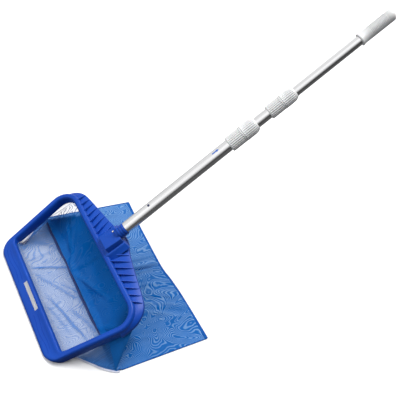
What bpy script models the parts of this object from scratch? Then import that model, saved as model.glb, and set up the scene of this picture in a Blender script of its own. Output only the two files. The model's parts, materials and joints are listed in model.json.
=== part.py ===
"""Leaf skimmer net: a moulded rake head with a mesh bag, on a three-piece telescopic pole.

Metres, +Z up. The origin is the middle of the hand grip, where a hand holds the pole. The head's
front lip rests on the ground plane, the bag lies on the ground behind it, and the pole rises
along +Y. +X runs along the lip. Everything is mirrored about X = 0, apart from the block's screw.

Two local frames carry the parts:
  head frame  x along the lip, y up the head's slope from the lip, z out of the head's top face
  pole frame  z along the pole from the end of the outer tube, -y towards the pole's upper side
"""

import math

import bmesh
import bpy
from mathutils import Vector

# ---------------------------------------------------------------- driving dimensions (metres)

# stance
HEAD_TILT = math.radians(38.2)
POLE_RISE = math.radians(46.7)
LIP_HEIGHT = 0.008
POLE_START_Y = 0.2644
POLE_START_Z = 0.2338

# head outline, in the head frame
FRONT_HALF_WIDTH = 0.1907
BACK_HALF_WIDTH = 0.2385
CREST_BACK = 0.2585
RIM_HALF_BREADTH = 0.0085
BLADE_DEPTH = 0.0445
FRONT_CORNER_R = 0.034
BACK_CORNER_R = 0.048
INNER_FRONT_CORNER_R = 0.012
RIM_ROUNDING = 0.0062
SKIRT_DEPTH = 0.032
BLADE_SKIRT_DEPTH = 0.016
WALL = 0.0026
LIP_WALL = 0.006
SKIRT_FLARE = 0.0008

# rear flange and its gussets, in the head frame
FLANGE_ROOT_TOP = -0.0110
FLANGE_MIDDLE_TOP = -0.0172
FLANGE_EDGE_TOP = -0.0225
FLANGE_THICKNESS = 0.003
FLANGE_LIP_DROP = 0.009
FLANGE_STEPS = 44
FLANGE_HALF_OUTLINE = [
    (0.018, 0.3290), (0.034, 0.3215), (0.060, 0.3125), (0.115, 0.3020), (0.163, 0.2935), (0.192, 0.2875),
    (0.210, 0.2800), (0.2250, 0.2660), (0.2350, 0.2480), (0.2400, 0.2270), (0.2415, 0.1960),
]
GUSSETS_PER_SIDE = 8
GUSSET_FIRST_X = 0.044
GUSSET_PITCH = 0.0211
GUSSET_LAST_TIP_X = 0.203
GUSSET_THICKNESS = 0.0024
GUSSET_SLANT = math.radians(28)
GUSSET_TOP = -0.001
GUSSET_MIDDLE_TOP = -0.0080

# handle block and the flat seat under it
SEAT_TOP = -0.0113
SEAT_BOTTOM = -0.028
SEAT_MARGIN = 0.0015
BLOCK_TOP_HALF_WIDTH = 0.0225
BLOCK_FRONT_HALF_WIDTH = 0.0320
BLOCK_BACK_HALF_WIDTH = 0.0285
BLOCK_FRONT = 0.2705
BLOCK_BACK = 0.3215
BLOCK_TOP = 0.0175
BLOCK_BEVEL = 0.0022
SCREW_X = -0.0115
SCREW_Y = 0.3115
SCREW_HEAD_R = 0.0026
SCREW_SHANK_R = 0.0015
SCREW_LENGTH = 0.034

# pole, in the pole frame
COLLAR_START = -0.030
COLLAR_R = 0.0172
STUB_R = 0.01435
STUB_BORE_R = 0.0114
STUB_END = 0.115
OUTER_TUBE_R = 0.015875
MIDDLE_TUBE_R = 0.0143
INNER_TUBE_R = 0.0127
TUBE_WALL = 0.0012
OUTER_TUBE_END = 0.3935
LOWER_LOCK_START = 0.354
LOWER_LOCK_SPLIT = 0.4002
LOWER_LOCK_END = 0.444
MIDDLE_TUBE_START = 0.163
MIDDLE_TUBE_END = 0.5225
UPPER_LOCK_START = 0.4847
UPPER_LOCK_SPLIT = 0.5286
UPPER_LOCK_END = 0.5705
INNER_TUBE_START = 0.450
INNER_TUBE_END = 0.868
GRIP_START = 0.7754
GRIP_END = 0.8814
GRIP_R = 0.0158
BUTTON_STATION = 0.0883
BUTTON_R = 0.0032
BUTTON_PROUD = 0.0022
BUTTON_ROOT = 0.0086

# bag, on the ground behind the lip
BAG_HALF_WIDTH = 0.277
BAG_FRONT = 0.163
BAG_END = 0.455
BAG_THICKNESS = 0.0012
BAG_GAP_TOP = 0.0115
BAG_CLEAR_OF_GROUND = 0.0004
TAPE_WIDTH = 0.005
TAPE_THICKNESS = 0.0012

GAP = 0.0003
SEGMENTS = 32

# ---------------------------------------------------------------- derived places

HAND = 0.5 * (GRIP_START + GRIP_END)
POLE_DIRECTION = Vector((0, math.cos(POLE_RISE), math.sin(POLE_RISE)))
POLE_START = -HAND * POLE_DIRECTION
GROUND_UNDER_LIP = POLE_START - Vector((0, POLE_START_Y, POLE_START_Z))


def head_to_ground(x, y, z):
    """A point of the head frame, measured from the ground under the lip."""
    sine, cosine = math.sin(HEAD_TILT), math.cos(HEAD_TILT)
    return Vector((x, y * cosine - z * sine, LIP_HEIGHT + y * sine + z * cosine))


def ground_in_head(y):
    """The height of the ground plane below a point of the head frame."""
    return -(LIP_HEIGHT + y * math.sin(HEAD_TILT)) / math.cos(HEAD_TILT)


def mix(a, b, share):
    return a + (b - a) * share


# ---------------------------------------------------------------- scene and materials

for old in list(bpy.data.objects):
    bpy.data.objects.remove(old, do_unlink=True)


def material(name, colour, roughness, metallic=0.0):
    made = bpy.data.materials.new(name)
    made.use_nodes = True
    shader = made.node_tree.nodes["Principled BSDF"]
    shader.inputs["Base Color"].default_value = (*colour, 1)
    shader.inputs["Roughness"].default_value = roughness
    shader.inputs["Metallic"].default_value = metallic
    return made


BLUE_PLASTIC = material("blue_plastic", (0.015, 0.07, 0.50), 0.35)
NAVY_PLASTIC = material("navy_plastic", (0.008, 0.02, 0.12), 0.4)
WHITE_PLASTIC = material("white_plastic", (0.80, 0.80, 0.79), 0.45)
ANODISED = material("anodised_aluminium", (0.78, 0.79, 0.80), 0.28, 1.0)
STEEL = material("stainless_steel", (0.6, 0.6, 0.6), 0.3, 1.0)
BLUE_MESH = material("blue_mesh", (0.05, 0.24, 0.70), 0.8)
GREY_TAPE = material("grey_tape", (0.55, 0.56, 0.62), 0.8)


def empty(name, location, tilt):
    made = bpy.data.objects.new(name, None)
    made.location = location
    made.rotation_euler = (tilt, 0, 0)
    bpy.context.collection.objects.link(made)
    return made


HEAD = empty("head_frame_axes", GROUND_UNDER_LIP + Vector((0, 0, LIP_HEIGHT)), HEAD_TILT)
POLE = empty("pole_axes", POLE_START, POLE_RISE - math.pi / 2)
GROUND = empty("ground_axes", GROUND_UNDER_LIP, 0)


# ---------------------------------------------------------------- mesh helpers


def add(name, made, paint, parent, sharp=35):
    """Puts a bmesh in the scene as an object, facing outwards."""
    bmesh.ops.recalc_face_normals(made, faces=made.faces)
    mesh = bpy.data.meshes.new(name)
    made.to_mesh(mesh)
    made.free()
    mesh.materials.append(paint)
    mesh.shade_smooth()
    mesh.set_sharp_from_angle(angle=math.radians(sharp))
    thing = bpy.data.objects.new(name, mesh)
    thing.parent = parent
    bpy.context.collection.objects.link(thing)
    return thing


def loft(rings, around=True):
    """A surface through rings of points. around also joins the last ring to the first."""
    made = bmesh.new()
    rows = [[made.verts.new(point) for point in ring] for ring in rings]
    spans = len(rows) if around else len(rows) - 1
    for k in range(spans):
        here, there = rows[k], rows[(k + 1) % len(rows)]
        for i in range(len(here)):
            j = (i + 1) % len(here)
            made.faces.new((here[i], here[j], there[j], there[i]))
    return made


def turned(profile, segments=SEGMENTS, flutes=0, flute_depth=0.0):
    """A solid turned about z. profile is a closed outline of (radius, z, fluted) points."""
    rings = []
    for point in profile:
        radius, z = point[0], point[1]
        depth = flute_depth if flutes and len(point) > 2 else 0.0
        ring = []
        for i in range(segments):
            turn = 2 * math.pi * i / segments
            r = radius - depth * (0.5 - 0.5 * math.cos(flutes * turn))
            ring.append((r * math.cos(turn), r * math.sin(turn), z))
        rings.append(ring)
    return loft(rings)


def capped(profile, segments=SEGMENTS):
    """A solid turned about z whose profile runs from a point on the axis to another."""
    made = bmesh.new()
    first = made.verts.new((0, 0, profile[0][1]))
    last = made.verts.new((0, 0, profile[-1][1]))
    rows = []
    for radius, z in profile[1:-1]:
        turns = [2 * math.pi * i / segments for i in range(segments)]
        rows.append([made.verts.new((radius * math.cos(t), radius * math.sin(t), z)) for t in turns])
    for i in range(segments):
        j = (i + 1) % segments
        made.faces.new((first, rows[0][i], rows[0][j]))
        made.faces.new((last, rows[-1][j], rows[-1][i]))
        for here, there in zip(rows, rows[1:]):
            made.faces.new((here[i], there[i], there[j], here[j]))
    return made


def prism(outline, along, low, high):
    """A solid whose flat outline runs from low to high along one axis, 0 to 2."""
    made = bmesh.new()
    ends = []
    for at in (low, high):
        ring = []
        for a, b in outline:
            point = [a, b]
            point.insert(along, at)
            ring.append(made.verts.new(point))
        ends.append(ring)
    made.faces.new(ends[0][::-1])
    made.faces.new(ends[1])
    for i in range(len(outline)):
        j = (i + 1) % len(outline)
        made.faces.new((ends[0][i], ends[0][j], ends[1][j], ends[1][i]))
    return made


def helper(name, made, parent):
    """A shape that a Boolean reads, which isn't a part itself."""
    thing = add(name, made, BLUE_PLASTIC, parent)
    thing.hide_render = True
    thing.display_type = "WIRE"
    return thing


def combine(thing, other, operation):
    step = thing.modifiers.new(f"{operation.lower()}_{other.name}", "BOOLEAN")
    step.operation = operation
    step.object = other
    step.solver = "EXACT"


def rod(radius, low, high, segments=20):
    return capped([(0, low), (radius, low), (radius, high), (0, high)], segments)


# ---------------------------------------------------------------- head frame

ARC_STEPS = 8
SIDE_STEPS = (14, 8, 14, 8)


def rounded_loop(corners, radii):
    """A closed outline with round corners. Every loop has the same number of points."""
    arcs = []
    for k, corner in enumerate(corners):
        back = (Vector(corners[k - 1]) - Vector(corner)).normalized()
        ahead = (Vector(corners[(k + 1) % len(corners)]) - Vector(corner)).normalized()
        half = back.angle(ahead) / 2
        centre = Vector(corner) + (back + ahead).normalized() * radii[k] / math.sin(half)
        reach = radii[k] / math.tan(half)
        start = Vector(corner) + back * reach - centre
        end = Vector(corner) + ahead * reach - centre
        sweep = start.angle(end)
        arc = []
        for i in range(ARC_STEPS + 1):
            share = i / ARC_STEPS
            weight_start = math.sin((1 - share) * sweep) / math.sin(sweep)
            weight_end = math.sin(share * sweep) / math.sin(sweep)
            arc.append(centre + start * weight_start + end * weight_end)
        arcs.append(arc)
    points = []
    for k, arc in enumerate(arcs):
        points += arc
        following = arcs[(k + 1) % len(arcs)][0]
        steps = SIDE_STEPS[k]
        points += [arc[-1].lerp(following, i / steps) for i in range(1, steps)]
    return points


def rim_loop(grow, front, back, front_radius, back_radius):
    """An outline at a distance grow outside the rim's crest, from front to back."""
    slope = (BACK_HALF_WIDTH - FRONT_HALF_WIDTH) / CREST_BACK
    near = FRONT_HALF_WIDTH + grow + slope * front
    far = FRONT_HALF_WIDTH + grow + slope * back
    corners = [(-near, front), (near, front), (far, back), (-far, back)]
    return rounded_loop(corners, (front_radius, front_radius, back_radius, back_radius))


INNER_BACK = CREST_BACK - RIM_HALF_BREADTH
OUTER_BACK = CREST_BACK + RIM_HALF_BREADTH
INNER_LOOP = rim_loop(
    -RIM_HALF_BREADTH, BLADE_DEPTH, INNER_BACK, INNER_FRONT_CORNER_R, BACK_CORNER_R - RIM_HALF_BREADTH
)
OUTER_LOOP = rim_loop(
    RIM_HALF_BREADTH, 0, OUTER_BACK, FRONT_CORNER_R + RIM_HALF_BREADTH, BACK_CORNER_R + RIM_HALF_BREADTH
)

RIM_TOP = [0, 0.05, 0.15, 0.28, 0.42, 0.58, 0.72, 0.85, 0.95, 1]
BLADE_TOP = [-0.0030, -0.0002, 0.0, -0.0016, -0.0022, -0.0021, -0.0014, -0.0009, -0.0022, -0.0046]


def frame_section(inner, outer):
    """The rim's section from its inner face to its outer one, an inverted channel."""
    across = outer - inner
    breadth = across.length
    outward = across.normalized()
    blade = min(max((breadth - 2.2 * RIM_HALF_BREADTH) / (BLADE_DEPTH - 2.2 * RIM_HALF_BREADTH), 0), 1)
    wall = mix(WALL, LIP_WALL, blade)
    depth = mix(SKIRT_DEPTH, BLADE_SKIRT_DEPTH, blade)

    def at(distance, z):
        flat = inner + outward * distance
        return (flat.x, flat.y, max(z, ground_in_head(flat.y)))

    section = [at(0, -depth)]
    for share, blade_z in zip(RIM_TOP, BLADE_TOP):
        rim_z = -RIM_ROUNDING * abs(2 * share - 1) ** 2.6
        section.append(at(share * breadth, mix(rim_z, blade_z, blade)))
    section.append(at(breadth + SKIRT_FLARE, -SKIRT_DEPTH))
    section.append(at(breadth + SKIRT_FLARE - wall, -SKIRT_DEPTH))
    section.append(at(breadth - wall, -RIM_ROUNDING - WALL * 0.6))
    section.append(at(WALL, -RIM_ROUNDING - WALL * 0.6))
    section.append(at(WALL, -depth))
    return section


def resampled(points, steps):
    """Points at even distances along a line of points."""
    lengths = [0.0]
    for here, there in zip(points, points[1:]):
        lengths.append(lengths[-1] + (there - here).length)
    even = []
    k = 0
    for i in range(steps + 1):
        target = lengths[-1] * i / steps
        while k < len(points) - 2 and lengths[k + 1] < target:
            k += 1
        even.append(points[k].lerp(points[k + 1], (target - lengths[k]) / (lengths[k + 1] - lengths[k])))
    return even


FLANGE_EDGE = [Vector((-x, y)) for x, y in reversed(FLANGE_HALF_OUTLINE)]
FLANGE_EDGE += [Vector(point) for point in FLANGE_HALF_OUTLINE]


def flange():
    """The sloping flange round the back of the rim, with a turned-down lip on its free edge."""
    end = FLANGE_EDGE[0].y
    rim = []
    for inner, outer in zip(INNER_LOOP, OUTER_LOOP):
        if outer.y > end:
            rim.append(outer + (inner - outer).normalized() * WALL / 2)
    edge, root = resampled(FLANGE_EDGE, FLANGE_STEPS), resampled(rim[::-1], FLANGE_STEPS)
    sections = []
    for free, fixed in zip(edge, root):
        reach = (free - fixed).length
        inward = (fixed - free) / reach
        wall = min(WALL, reach / 2)
        middle = free.lerp(fixed, 0.45)
        lip_in = free + inward * wall
        low = FLANGE_EDGE_TOP - FLANGE_LIP_DROP
        sections.append([
            (*free, FLANGE_EDGE_TOP), (*middle, FLANGE_MIDDLE_TOP), (*fixed, FLANGE_ROOT_TOP),
            (*fixed, FLANGE_ROOT_TOP - FLANGE_THICKNESS), (*middle, FLANGE_MIDDLE_TOP - FLANGE_THICKNESS),
            (*lip_in, FLANGE_EDGE_TOP - FLANGE_THICKNESS), (*lip_in, low), (*free, low),
        ])
    made = loft(sections, around=False)
    made.verts.ensure_lookup_table()
    count = len(sections[0])
    made.faces.new(list(made.verts)[:count])
    made.faces.new(list(made.verts)[-count:][::-1])
    return made


def flange_back(x):
    """How far back the flange reaches at a distance x from the middle."""
    for (x0, y0), (x1, y1) in zip(FLANGE_HALF_OUTLINE, FLANGE_HALF_OUTLINE[1:]):
        if x0 <= abs(x) <= x1:
            return mix(y0, y1, (abs(x) - x0) / (x1 - x0))
    return FLANGE_HALF_OUTLINE[0][1]


def gussets():
    """Slanted ribs, tall at the rim and running out at the flange's edge."""
    made = bmesh.new()
    lean = math.tan(GUSSET_SLANT)
    root_y = OUTER_BACK - WALL / 2
    for side in (-1, 1):
        for k in range(GUSSETS_PER_SIDE):
            middle_x = GUSSET_FIRST_X + k * GUSSET_PITCH
            half = lean * (flange_back(middle_x) - root_y) / 2
            root_x, tip_x = middle_x - half, min(middle_x + half, GUSSET_LAST_TIP_X)
            tip_y = flange_back(tip_x) - WALL / 2
            middle_x, middle_y = (root_x + tip_x) / 2, (root_y + tip_y) / 2
            outline = [
                (root_x, root_y, FLANGE_ROOT_TOP - 0.0015), (middle_x, middle_y, FLANGE_MIDDLE_TOP - 0.0015),
                (tip_x, tip_y, FLANGE_EDGE_TOP - 0.0015), (tip_x, tip_y, FLANGE_EDGE_TOP + 0.0012),
                (middle_x, middle_y, GUSSET_MIDDLE_TOP), (root_x, root_y, GUSSET_TOP),
            ]
            faces = []
            for shift in (-GUSSET_THICKNESS / 2, GUSSET_THICKNESS / 2):
                faces.append([made.verts.new((side * (x + shift), y, z)) for x, y, z in outline])
            left, right = faces
            for a, b in ((0, 1), (1, 2)):
                c, d = 5 - b, 5 - a
                made.faces.new((left[a], left[b], left[c], left[d]))
                made.faces.new((right[d], right[c], right[b], right[a]))
            for i in range(6):
                j = (i + 1) % 6
                made.faces.new((left[i], right[i], right[j], left[j]))
    return made


def build_head_frame():
    sections = [frame_section(i, o) for i, o in zip(INNER_LOOP, OUTER_LOOP)]
    frame = add("head_frame", loft(sections), BLUE_PLASTIC, HEAD, sharp=40)
    combine(frame, helper("flange_shape", flange(), HEAD), "UNION")
    combine(frame, helper("gusset_shapes", gussets(), HEAD), "UNION")
    front, back = OUTER_BACK - WALL / 2, BLOCK_BACK + SEAT_MARGIN
    wide, narrow = BLOCK_FRONT_HALF_WIDTH + SEAT_MARGIN, BLOCK_BACK_HALF_WIDTH + SEAT_MARGIN
    outline = [(-wide, front), (wide, front), (wide, BLOCK_FRONT)]
    outline += [(narrow, back), (-narrow, back), (-wide, BLOCK_FRONT)]
    seat = prism(outline, 2, SEAT_BOTTOM, SEAT_TOP)
    combine(frame, helper("seat_shape", seat, HEAD), "UNION")
    pilot = rod(SCREW_SHANK_R + GAP, -0.050, 0)
    bmesh.ops.translate(pilot, verts=pilot.verts, vec=(SCREW_X, SCREW_Y, 0))
    combine(frame, helper("pilot_cutter", pilot, HEAD), "DIFFERENCE")
    return frame


def build_handle_block():
    """The raised block that holds the pole, with its ringed collar and the stub inside the tube."""
    low = SEAT_TOP + GAP
    made = prism([(-1, 0), (1, 0), (1, 1), (-1, 1)], 2, low, BLOCK_TOP)
    for vert in made.verts:
        base = mix(BLOCK_FRONT_HALF_WIDTH, BLOCK_BACK_HALF_WIDTH, vert.co.y)
        half = base if vert.co.z < BLOCK_TOP else BLOCK_TOP_HALF_WIDTH
        vert.co.x *= half
        vert.co.y = mix(BLOCK_FRONT, BLOCK_BACK, vert.co.y)
    bmesh.ops.recalc_face_normals(made, faces=made.faces)
    edges = [e for e in made.edges if any(v.co.z > low + GAP for v in e.verts)]
    bmesh.ops.bevel(made, geom=edges, offset=BLOCK_BEVEL, segments=3, profile=0.6, affect="EDGES")
    block = add("handle_block", made, BLUE_PLASTIC, HEAD)

    ring, groove = COLLAR_R, COLLAR_R - 0.0018
    collar = [(0, COLLAR_START), (groove, COLLAR_START)]
    for k in range(3):
        z = -0.0225 + 0.0077 * k
        collar += [(groove, z), (ring, z + 0.0006), (ring, z + 0.0044), (groove, z + 0.0050)]
    collar += [(groove, -GAP), (STUB_R, -GAP), (STUB_R, STUB_END - 0.003)]
    collar += [(STUB_R - 0.001, STUB_END), (0, STUB_END)]
    collar_shape = helper("collar_shape", capped(collar), POLE)
    stub_bore = rod(STUB_BORE_R, 0.004, STUB_END + 0.01, SEGMENTS)
    combine(collar_shape, helper("stub_bore_cutter", stub_bore, POLE), "DIFFERENCE")
    combine(collar_shape, button_cutter("stub_button_cutter"), "DIFFERENCE")
    combine(block, collar_shape, "UNION")
    hole = rod(SCREW_SHANK_R + GAP, SEAT_TOP - 0.01, BLOCK_TOP + 0.01)
    bmesh.ops.translate(hole, verts=hole.verts, vec=(SCREW_X, SCREW_Y, 0))
    combine(block, helper("block_screw_cutter", hole, HEAD), "DIFFERENCE")
    recess = rod(SCREW_HEAD_R + 0.0004, BLOCK_TOP - 0.0008, BLOCK_TOP + 0.01)
    bmesh.ops.translate(recess, verts=recess.verts, vec=(SCREW_X, SCREW_Y, 0))
    combine(block, helper("screw_recess_cutter", recess, HEAD), "DIFFERENCE")
    return block


def button_cutter(name):
    """A bar across the pole that cuts the two opposite button holes."""
    made = rod(BUTTON_R + 0.0004, -0.03, 0.03)
    made.transform(Vector((0, 1, 0)).to_track_quat("Z", "X").to_matrix().to_4x4())
    bmesh.ops.translate(made, verts=made.verts, vec=(0, 0, BUTTON_STATION))
    return helper(name, made, POLE)


def build_block_screw():
    top = BLOCK_TOP - 0.0005
    head = SCREW_HEAD_R
    profile = [
        (0, top - SCREW_LENGTH), (SCREW_SHANK_R * 0.6, top - SCREW_LENGTH),
        (SCREW_SHANK_R, top - SCREW_LENGTH + 0.002), (SCREW_SHANK_R, top), (head, top),
        (head, top + 0.0008), (head * 0.75, top + 0.0016), (0, top + 0.0018),
    ]
    made = capped(profile, 16)
    bmesh.ops.translate(made, verts=made.verts, vec=(SCREW_X, SCREW_Y, 0))
    return add("block_screw", made, STEEL, HEAD)


def build_clip_spring():
    """A V-shaped spring strip inside the stub, one leg beside each button."""
    tip = BUTTON_STATION - BUTTON_R - 0.0006
    apex, spread, strip = 0.028, 0.0094, 0.0008
    outline = [(0, apex), (spread, tip - 0.008), (spread, tip), (spread - strip, tip)]
    outline += [(spread - strip, tip - 0.008), (0, apex + 3 * strip)]
    outline += [(-y, z) for y, z in outline[4:0:-1]]
    return add("clip_spring", prism(outline, 0, -0.004, 0.004), STEEL, POLE)


def build_buttons():
    """Two round buttons that snap through the tube, above and below the pole."""
    reach = OUTER_TUBE_R + BUTTON_PROUD
    for name, side in (("snap_button_top", -1), ("snap_button_bottom", 1)):
        profile = [
            (0, BUTTON_ROOT), (BUTTON_R, BUTTON_ROOT), (BUTTON_R, reach - 0.0012),
            (BUTTON_R * 0.8, reach - 0.0003), (0, reach),
        ]
        made = capped(profile, 20)
        made.transform(Vector((0, side, 0)).to_track_quat("Z", "X").to_matrix().to_4x4())
        button = add(name, made, NAVY_PLASTIC, POLE)
        button.location = (0, 0, BUTTON_STATION)


def build_bag_spline():
    """The strip pressed into the rim's channel, which holds the bag's edge."""
    centre = []
    for inner, outer in zip(INNER_LOOP, OUTER_LOOP):
        outward = (outer - inner).normalized()
        centre.append((inner + outward * (WALL + 0.0045), outward))
    rings = []
    for flat, outward in centre:
        ring = []
        for across, z in ((-0.0016, -0.0148), (0.0016, -0.0148), (0.0016, -0.0100), (-0.0016, -0.0100)):
            point = flat + outward * across
            ring.append((point.x, point.y, max(z, ground_in_head(point.y) + 0.002)))
        rings.append(ring)
    return add("bag_spline", loft(rings), BLUE_PLASTIC, HEAD)


# ---------------------------------------------------------------- bag


def bag_ring(front, back, front_z, back_z, front_half, back_half):
    """One ring of the bag: front edge along the ground, sides, and back edge above it."""
    lower = [(-front_half, front), (front_half, front)]
    upper = [(back_half, back), (-back_half, back)]
    corners = lower + upper
    heights = (front_z, front_z, back_z, back_z)
    points = []
    for k, corner in enumerate(corners):
        following = corners[(k + 1) % 4]
        steps = ARC_STEPS + SIDE_STEPS[k]
        for i in range(steps):
            share = i / steps
            flat = Vector(corner).lerp(Vector(following), share)
            points.append(Vector((flat.x, flat.y, mix(heights[k], heights[(k + 1) % 4], share))))
    turn = ARC_STEPS // 2
    return points[-turn:] + points[:-turn]


def bag_mouth(distance, sides_z, front_z):
    """A ring just under the rim, at a distance outside its inner face."""
    points = []
    for inner, outer in zip(INNER_LOOP, OUTER_LOOP):
        outward = (outer - inner).normalized()
        breadth = (outer - inner).length
        blade = min(max((breadth - 2.2 * RIM_HALF_BREADTH) / (BLADE_DEPTH - 2.2 * RIM_HALF_BREADTH), 0), 1)
        flat = inner + outward * distance
        points.append(head_to_ground(flat.x, flat.y, mix(sides_z, front_z, blade)))
    return points


def build_bag():
    low, high = BAG_CLEAR_OF_GROUND, BAG_GAP_TOP + BAG_THICKNESS
    rings = [
        bag_mouth(WALL + 0.004, -0.0165, -0.0160),
        bag_mouth(WALL + 0.004, -SKIRT_DEPTH - 0.0030, -BLADE_SKIRT_DEPTH - 0.0030),
        bag_mouth(-0.0010, -SKIRT_DEPTH - 0.0040, -BLADE_SKIRT_DEPTH - 0.0040),
        bag_ring(0.060, 0.196, 0.0045, 0.070, 0.208, 0.246),
        bag_ring(0.070, 0.176, low, 0.020, 0.225, 0.264),
        bag_ring(0.090, BAG_FRONT, low, high, 0.240, BAG_HALF_WIDTH - 0.004),
        bag_ring(0.150, BAG_FRONT + 0.010, low, high, 0.270, BAG_HALF_WIDTH),
        bag_ring(0.300, 0.300, low, high, BAG_HALF_WIDTH, BAG_HALF_WIDTH),
        bag_ring(BAG_END - 0.012, BAG_END - 0.012, low, high, BAG_HALF_WIDTH, BAG_HALF_WIDTH),
        bag_ring(BAG_END - 0.008, BAG_END - 0.008, low, 0.0045, BAG_HALF_WIDTH, BAG_HALF_WIDTH),
    ]
    made = loft(rings, around=False)
    made.verts.ensure_lookup_table()
    count = len(rings[0])
    end = list(made.verts)[-count:]
    made.faces.new(end[::-1])
    bag = add("bag_mesh", made, BLUE_MESH, GROUND)
    shell = bag.modifiers.new("cloth_thickness", "SOLIDIFY")
    shell.thickness = BAG_THICKNESS
    shell.offset = -1
    return bag


def build_bag_trim():
    """The stitched hem across the closed end, and a tape beside each front corner."""
    hem = [(BAG_END - 0.0072, BAG_CLEAR_OF_GROUND), (BAG_END, BAG_CLEAR_OF_GROUND)]
    hem += [(BAG_END, 0.003), (BAG_END - 0.0072, 0.0042)]
    add("bag_hem", prism(hem, 0, -BAG_HALF_WIDTH, BAG_HALF_WIDTH), BLUE_MESH, GROUND)
    edge = [(0.2412, 0.090), (0.2712, 0.150), (0.2782, 0.182)]
    outline = edge + [(x + TAPE_WIDTH, y) for x, y in reversed(edge)]
    for name, side in (("edge_tape_left", -1), ("edge_tape_right", 1)):
        flat = [(side * x, y) for x, y in outline]
        low = BAG_CLEAR_OF_GROUND
        add(name, prism(flat, 2, low, low + TAPE_THICKNESS), GREY_TAPE, GROUND)


# ---------------------------------------------------------------- pole


def tube(name, radius, start, end):
    bore = radius - TUBE_WALL
    length = end - start
    made = turned([(radius, length), (radius, 0), (bore, 0), (bore, length)])
    thing = add(name, made, ANODISED, POLE)
    thing.location = (0, 0, start)
    return thing


def tube_guide(name, bore_of, outer_r, start):
    """A bush in the tube's lower end, with a flange that runs in the next tube."""
    inner, spigot = bore_of - TUBE_WALL - GAP - 0.002, bore_of - TUBE_WALL - GAP
    profile = [
        (outer_r, -GAP), (outer_r, -0.005), (inner, -0.005), (inner, 0.012), (spigot, 0.012), (spigot, -GAP),
    ]
    thing = add(name, turned(profile), WHITE_PLASTIC, POLE)
    thing.location = (0, 0, start)


def build_twist_lock(prefix, tube_r, next_r, tube_end, start, split, end, body_r, nut_r, flutes):
    """A fluted body on one tube, a collet round the next one, and the nut that squeezes it."""
    segments = flutes * 2
    bore = tube_r + GAP
    neck = tube_r + 0.0026
    shoulder = body_r - 0.0028
    body_height, nut_height = split - start, end - split
    neck_top = body_height + 0.017
    body = [
        (bore, 0), (shoulder, 0), (shoulder, 0.0028), (body_r - 0.0012, 0.0046), (body_r, 0.0075, True),
        (body_r, body_height - 0.003, True), (body_r - 0.0008, body_height - GAP), (neck, body_height - GAP),
        (neck, neck_top), (bore, neck_top),
    ]
    thing = add(f"{prefix}_lock_body", turned(body, segments, flutes, 0.0011), WHITE_PLASTIC, POLE, sharp=50)
    thing.location = (0, 0, start)

    cavity = neck + 0.0005
    mouth = next_r + 0.0006
    nut = [
        (cavity, 0), (nut_r - 0.0006, 0), (nut_r, 0.0012), (nut_r, 0.004, True),
        (nut_r - 0.0002, 0.020, True), (nut_r - 0.0014, nut_height - 0.013, True),
        (nut_r - 0.0032, nut_height - 0.007), (nut_r - 0.0058, nut_height - 0.0028),
        (mouth + 0.0016, nut_height), (mouth, nut_height), (mouth, nut_height - 0.006), (cavity, 0.0195),
    ]
    thing = add(f"{prefix}_lock_nut", turned(nut, segments, flutes, 0.0011), WHITE_PLASTIC, POLE, sharp=50)
    thing.location = (0, 0, split)

    collet_start = tube_end + 0.0006
    collet_r = bore - GAP - 0.0001
    grip = next_r + 0.0004
    top = split + 0.0245 - collet_start
    collet = [(collet_r, 0), (collet_r, top - 0.003), (grip + 0.0008, top), (grip, top), (grip, 0)]
    thing = add(f"{prefix}_lock_collet", turned(collet), NAVY_PLASTIC, POLE)
    thing.location = (0, 0, collet_start)
    slot = prism([(-0.0008, 0.006), (0.0008, 0.006), (0.0008, 0.1), (-0.0008, 0.1)], 0, 0, 0.03)
    slit = helper(f"{prefix}_collet_slit", slot, POLE)
    slit.location = (0, 0, collet_start)
    combine(thing, slit, "DIFFERENCE")


def build_hand_grip():
    """A moulded sleeve over the inner tube, with a lip, fine rings and a domed end."""
    length = GRIP_END - GRIP_START
    bore = INNER_TUBE_R + GAP
    bore_top = INNER_TUBE_END - GRIP_START + 0.001
    outer = [(GRIP_R + 0.0012, 0), (GRIP_R + 0.0012, 0.004), (GRIP_R - 0.0004, 0.0055)]
    for k in range(9):
        z = 0.030 + 0.006 * k
        outer += [(GRIP_R, z), (GRIP_R - 0.0007, z + 0.0012)]
        outer += [(GRIP_R - 0.0007, z + 0.0028), (GRIP_R, z + 0.004)]
    dome = 6
    for k in range(dome):
        turn = math.pi / 2 * k / dome
        outer.append((GRIP_R * math.cos(turn), length - 0.010 + 0.010 * math.sin(turn)))
    profile = [(0, bore_top), (bore, bore_top), (bore, 0)] + outer + [(0, length)]
    grip = add("hand_grip", capped(profile, SEGMENTS), WHITE_PLASTIC, POLE)
    grip.location = (0, 0, GRIP_START)


def build_pole():
    outer = tube("outer_tube", OUTER_TUBE_R, 0, OUTER_TUBE_END)
    combine(outer, button_cutter("tube_button_cutter"), "DIFFERENCE")
    build_twist_lock("lower", OUTER_TUBE_R, MIDDLE_TUBE_R, OUTER_TUBE_END,
                     LOWER_LOCK_START, LOWER_LOCK_SPLIT, LOWER_LOCK_END, 0.0212, 0.0222, 22)
    tube("middle_tube", MIDDLE_TUBE_R, MIDDLE_TUBE_START, MIDDLE_TUBE_END)
    tube_guide("middle_tube_guide", MIDDLE_TUBE_R, OUTER_TUBE_R - TUBE_WALL - GAP, MIDDLE_TUBE_START)
    build_twist_lock("upper", MIDDLE_TUBE_R, INNER_TUBE_R, MIDDLE_TUBE_END,
                     UPPER_LOCK_START, UPPER_LOCK_SPLIT, UPPER_LOCK_END, 0.0188, 0.0198, 20)
    tube("inner_tube", INNER_TUBE_R, INNER_TUBE_START, INNER_TUBE_END)
    tube_guide("inner_tube_guide", INNER_TUBE_R, MIDDLE_TUBE_R - TUBE_WALL - GAP, INNER_TUBE_START)
    build_hand_grip()


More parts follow.
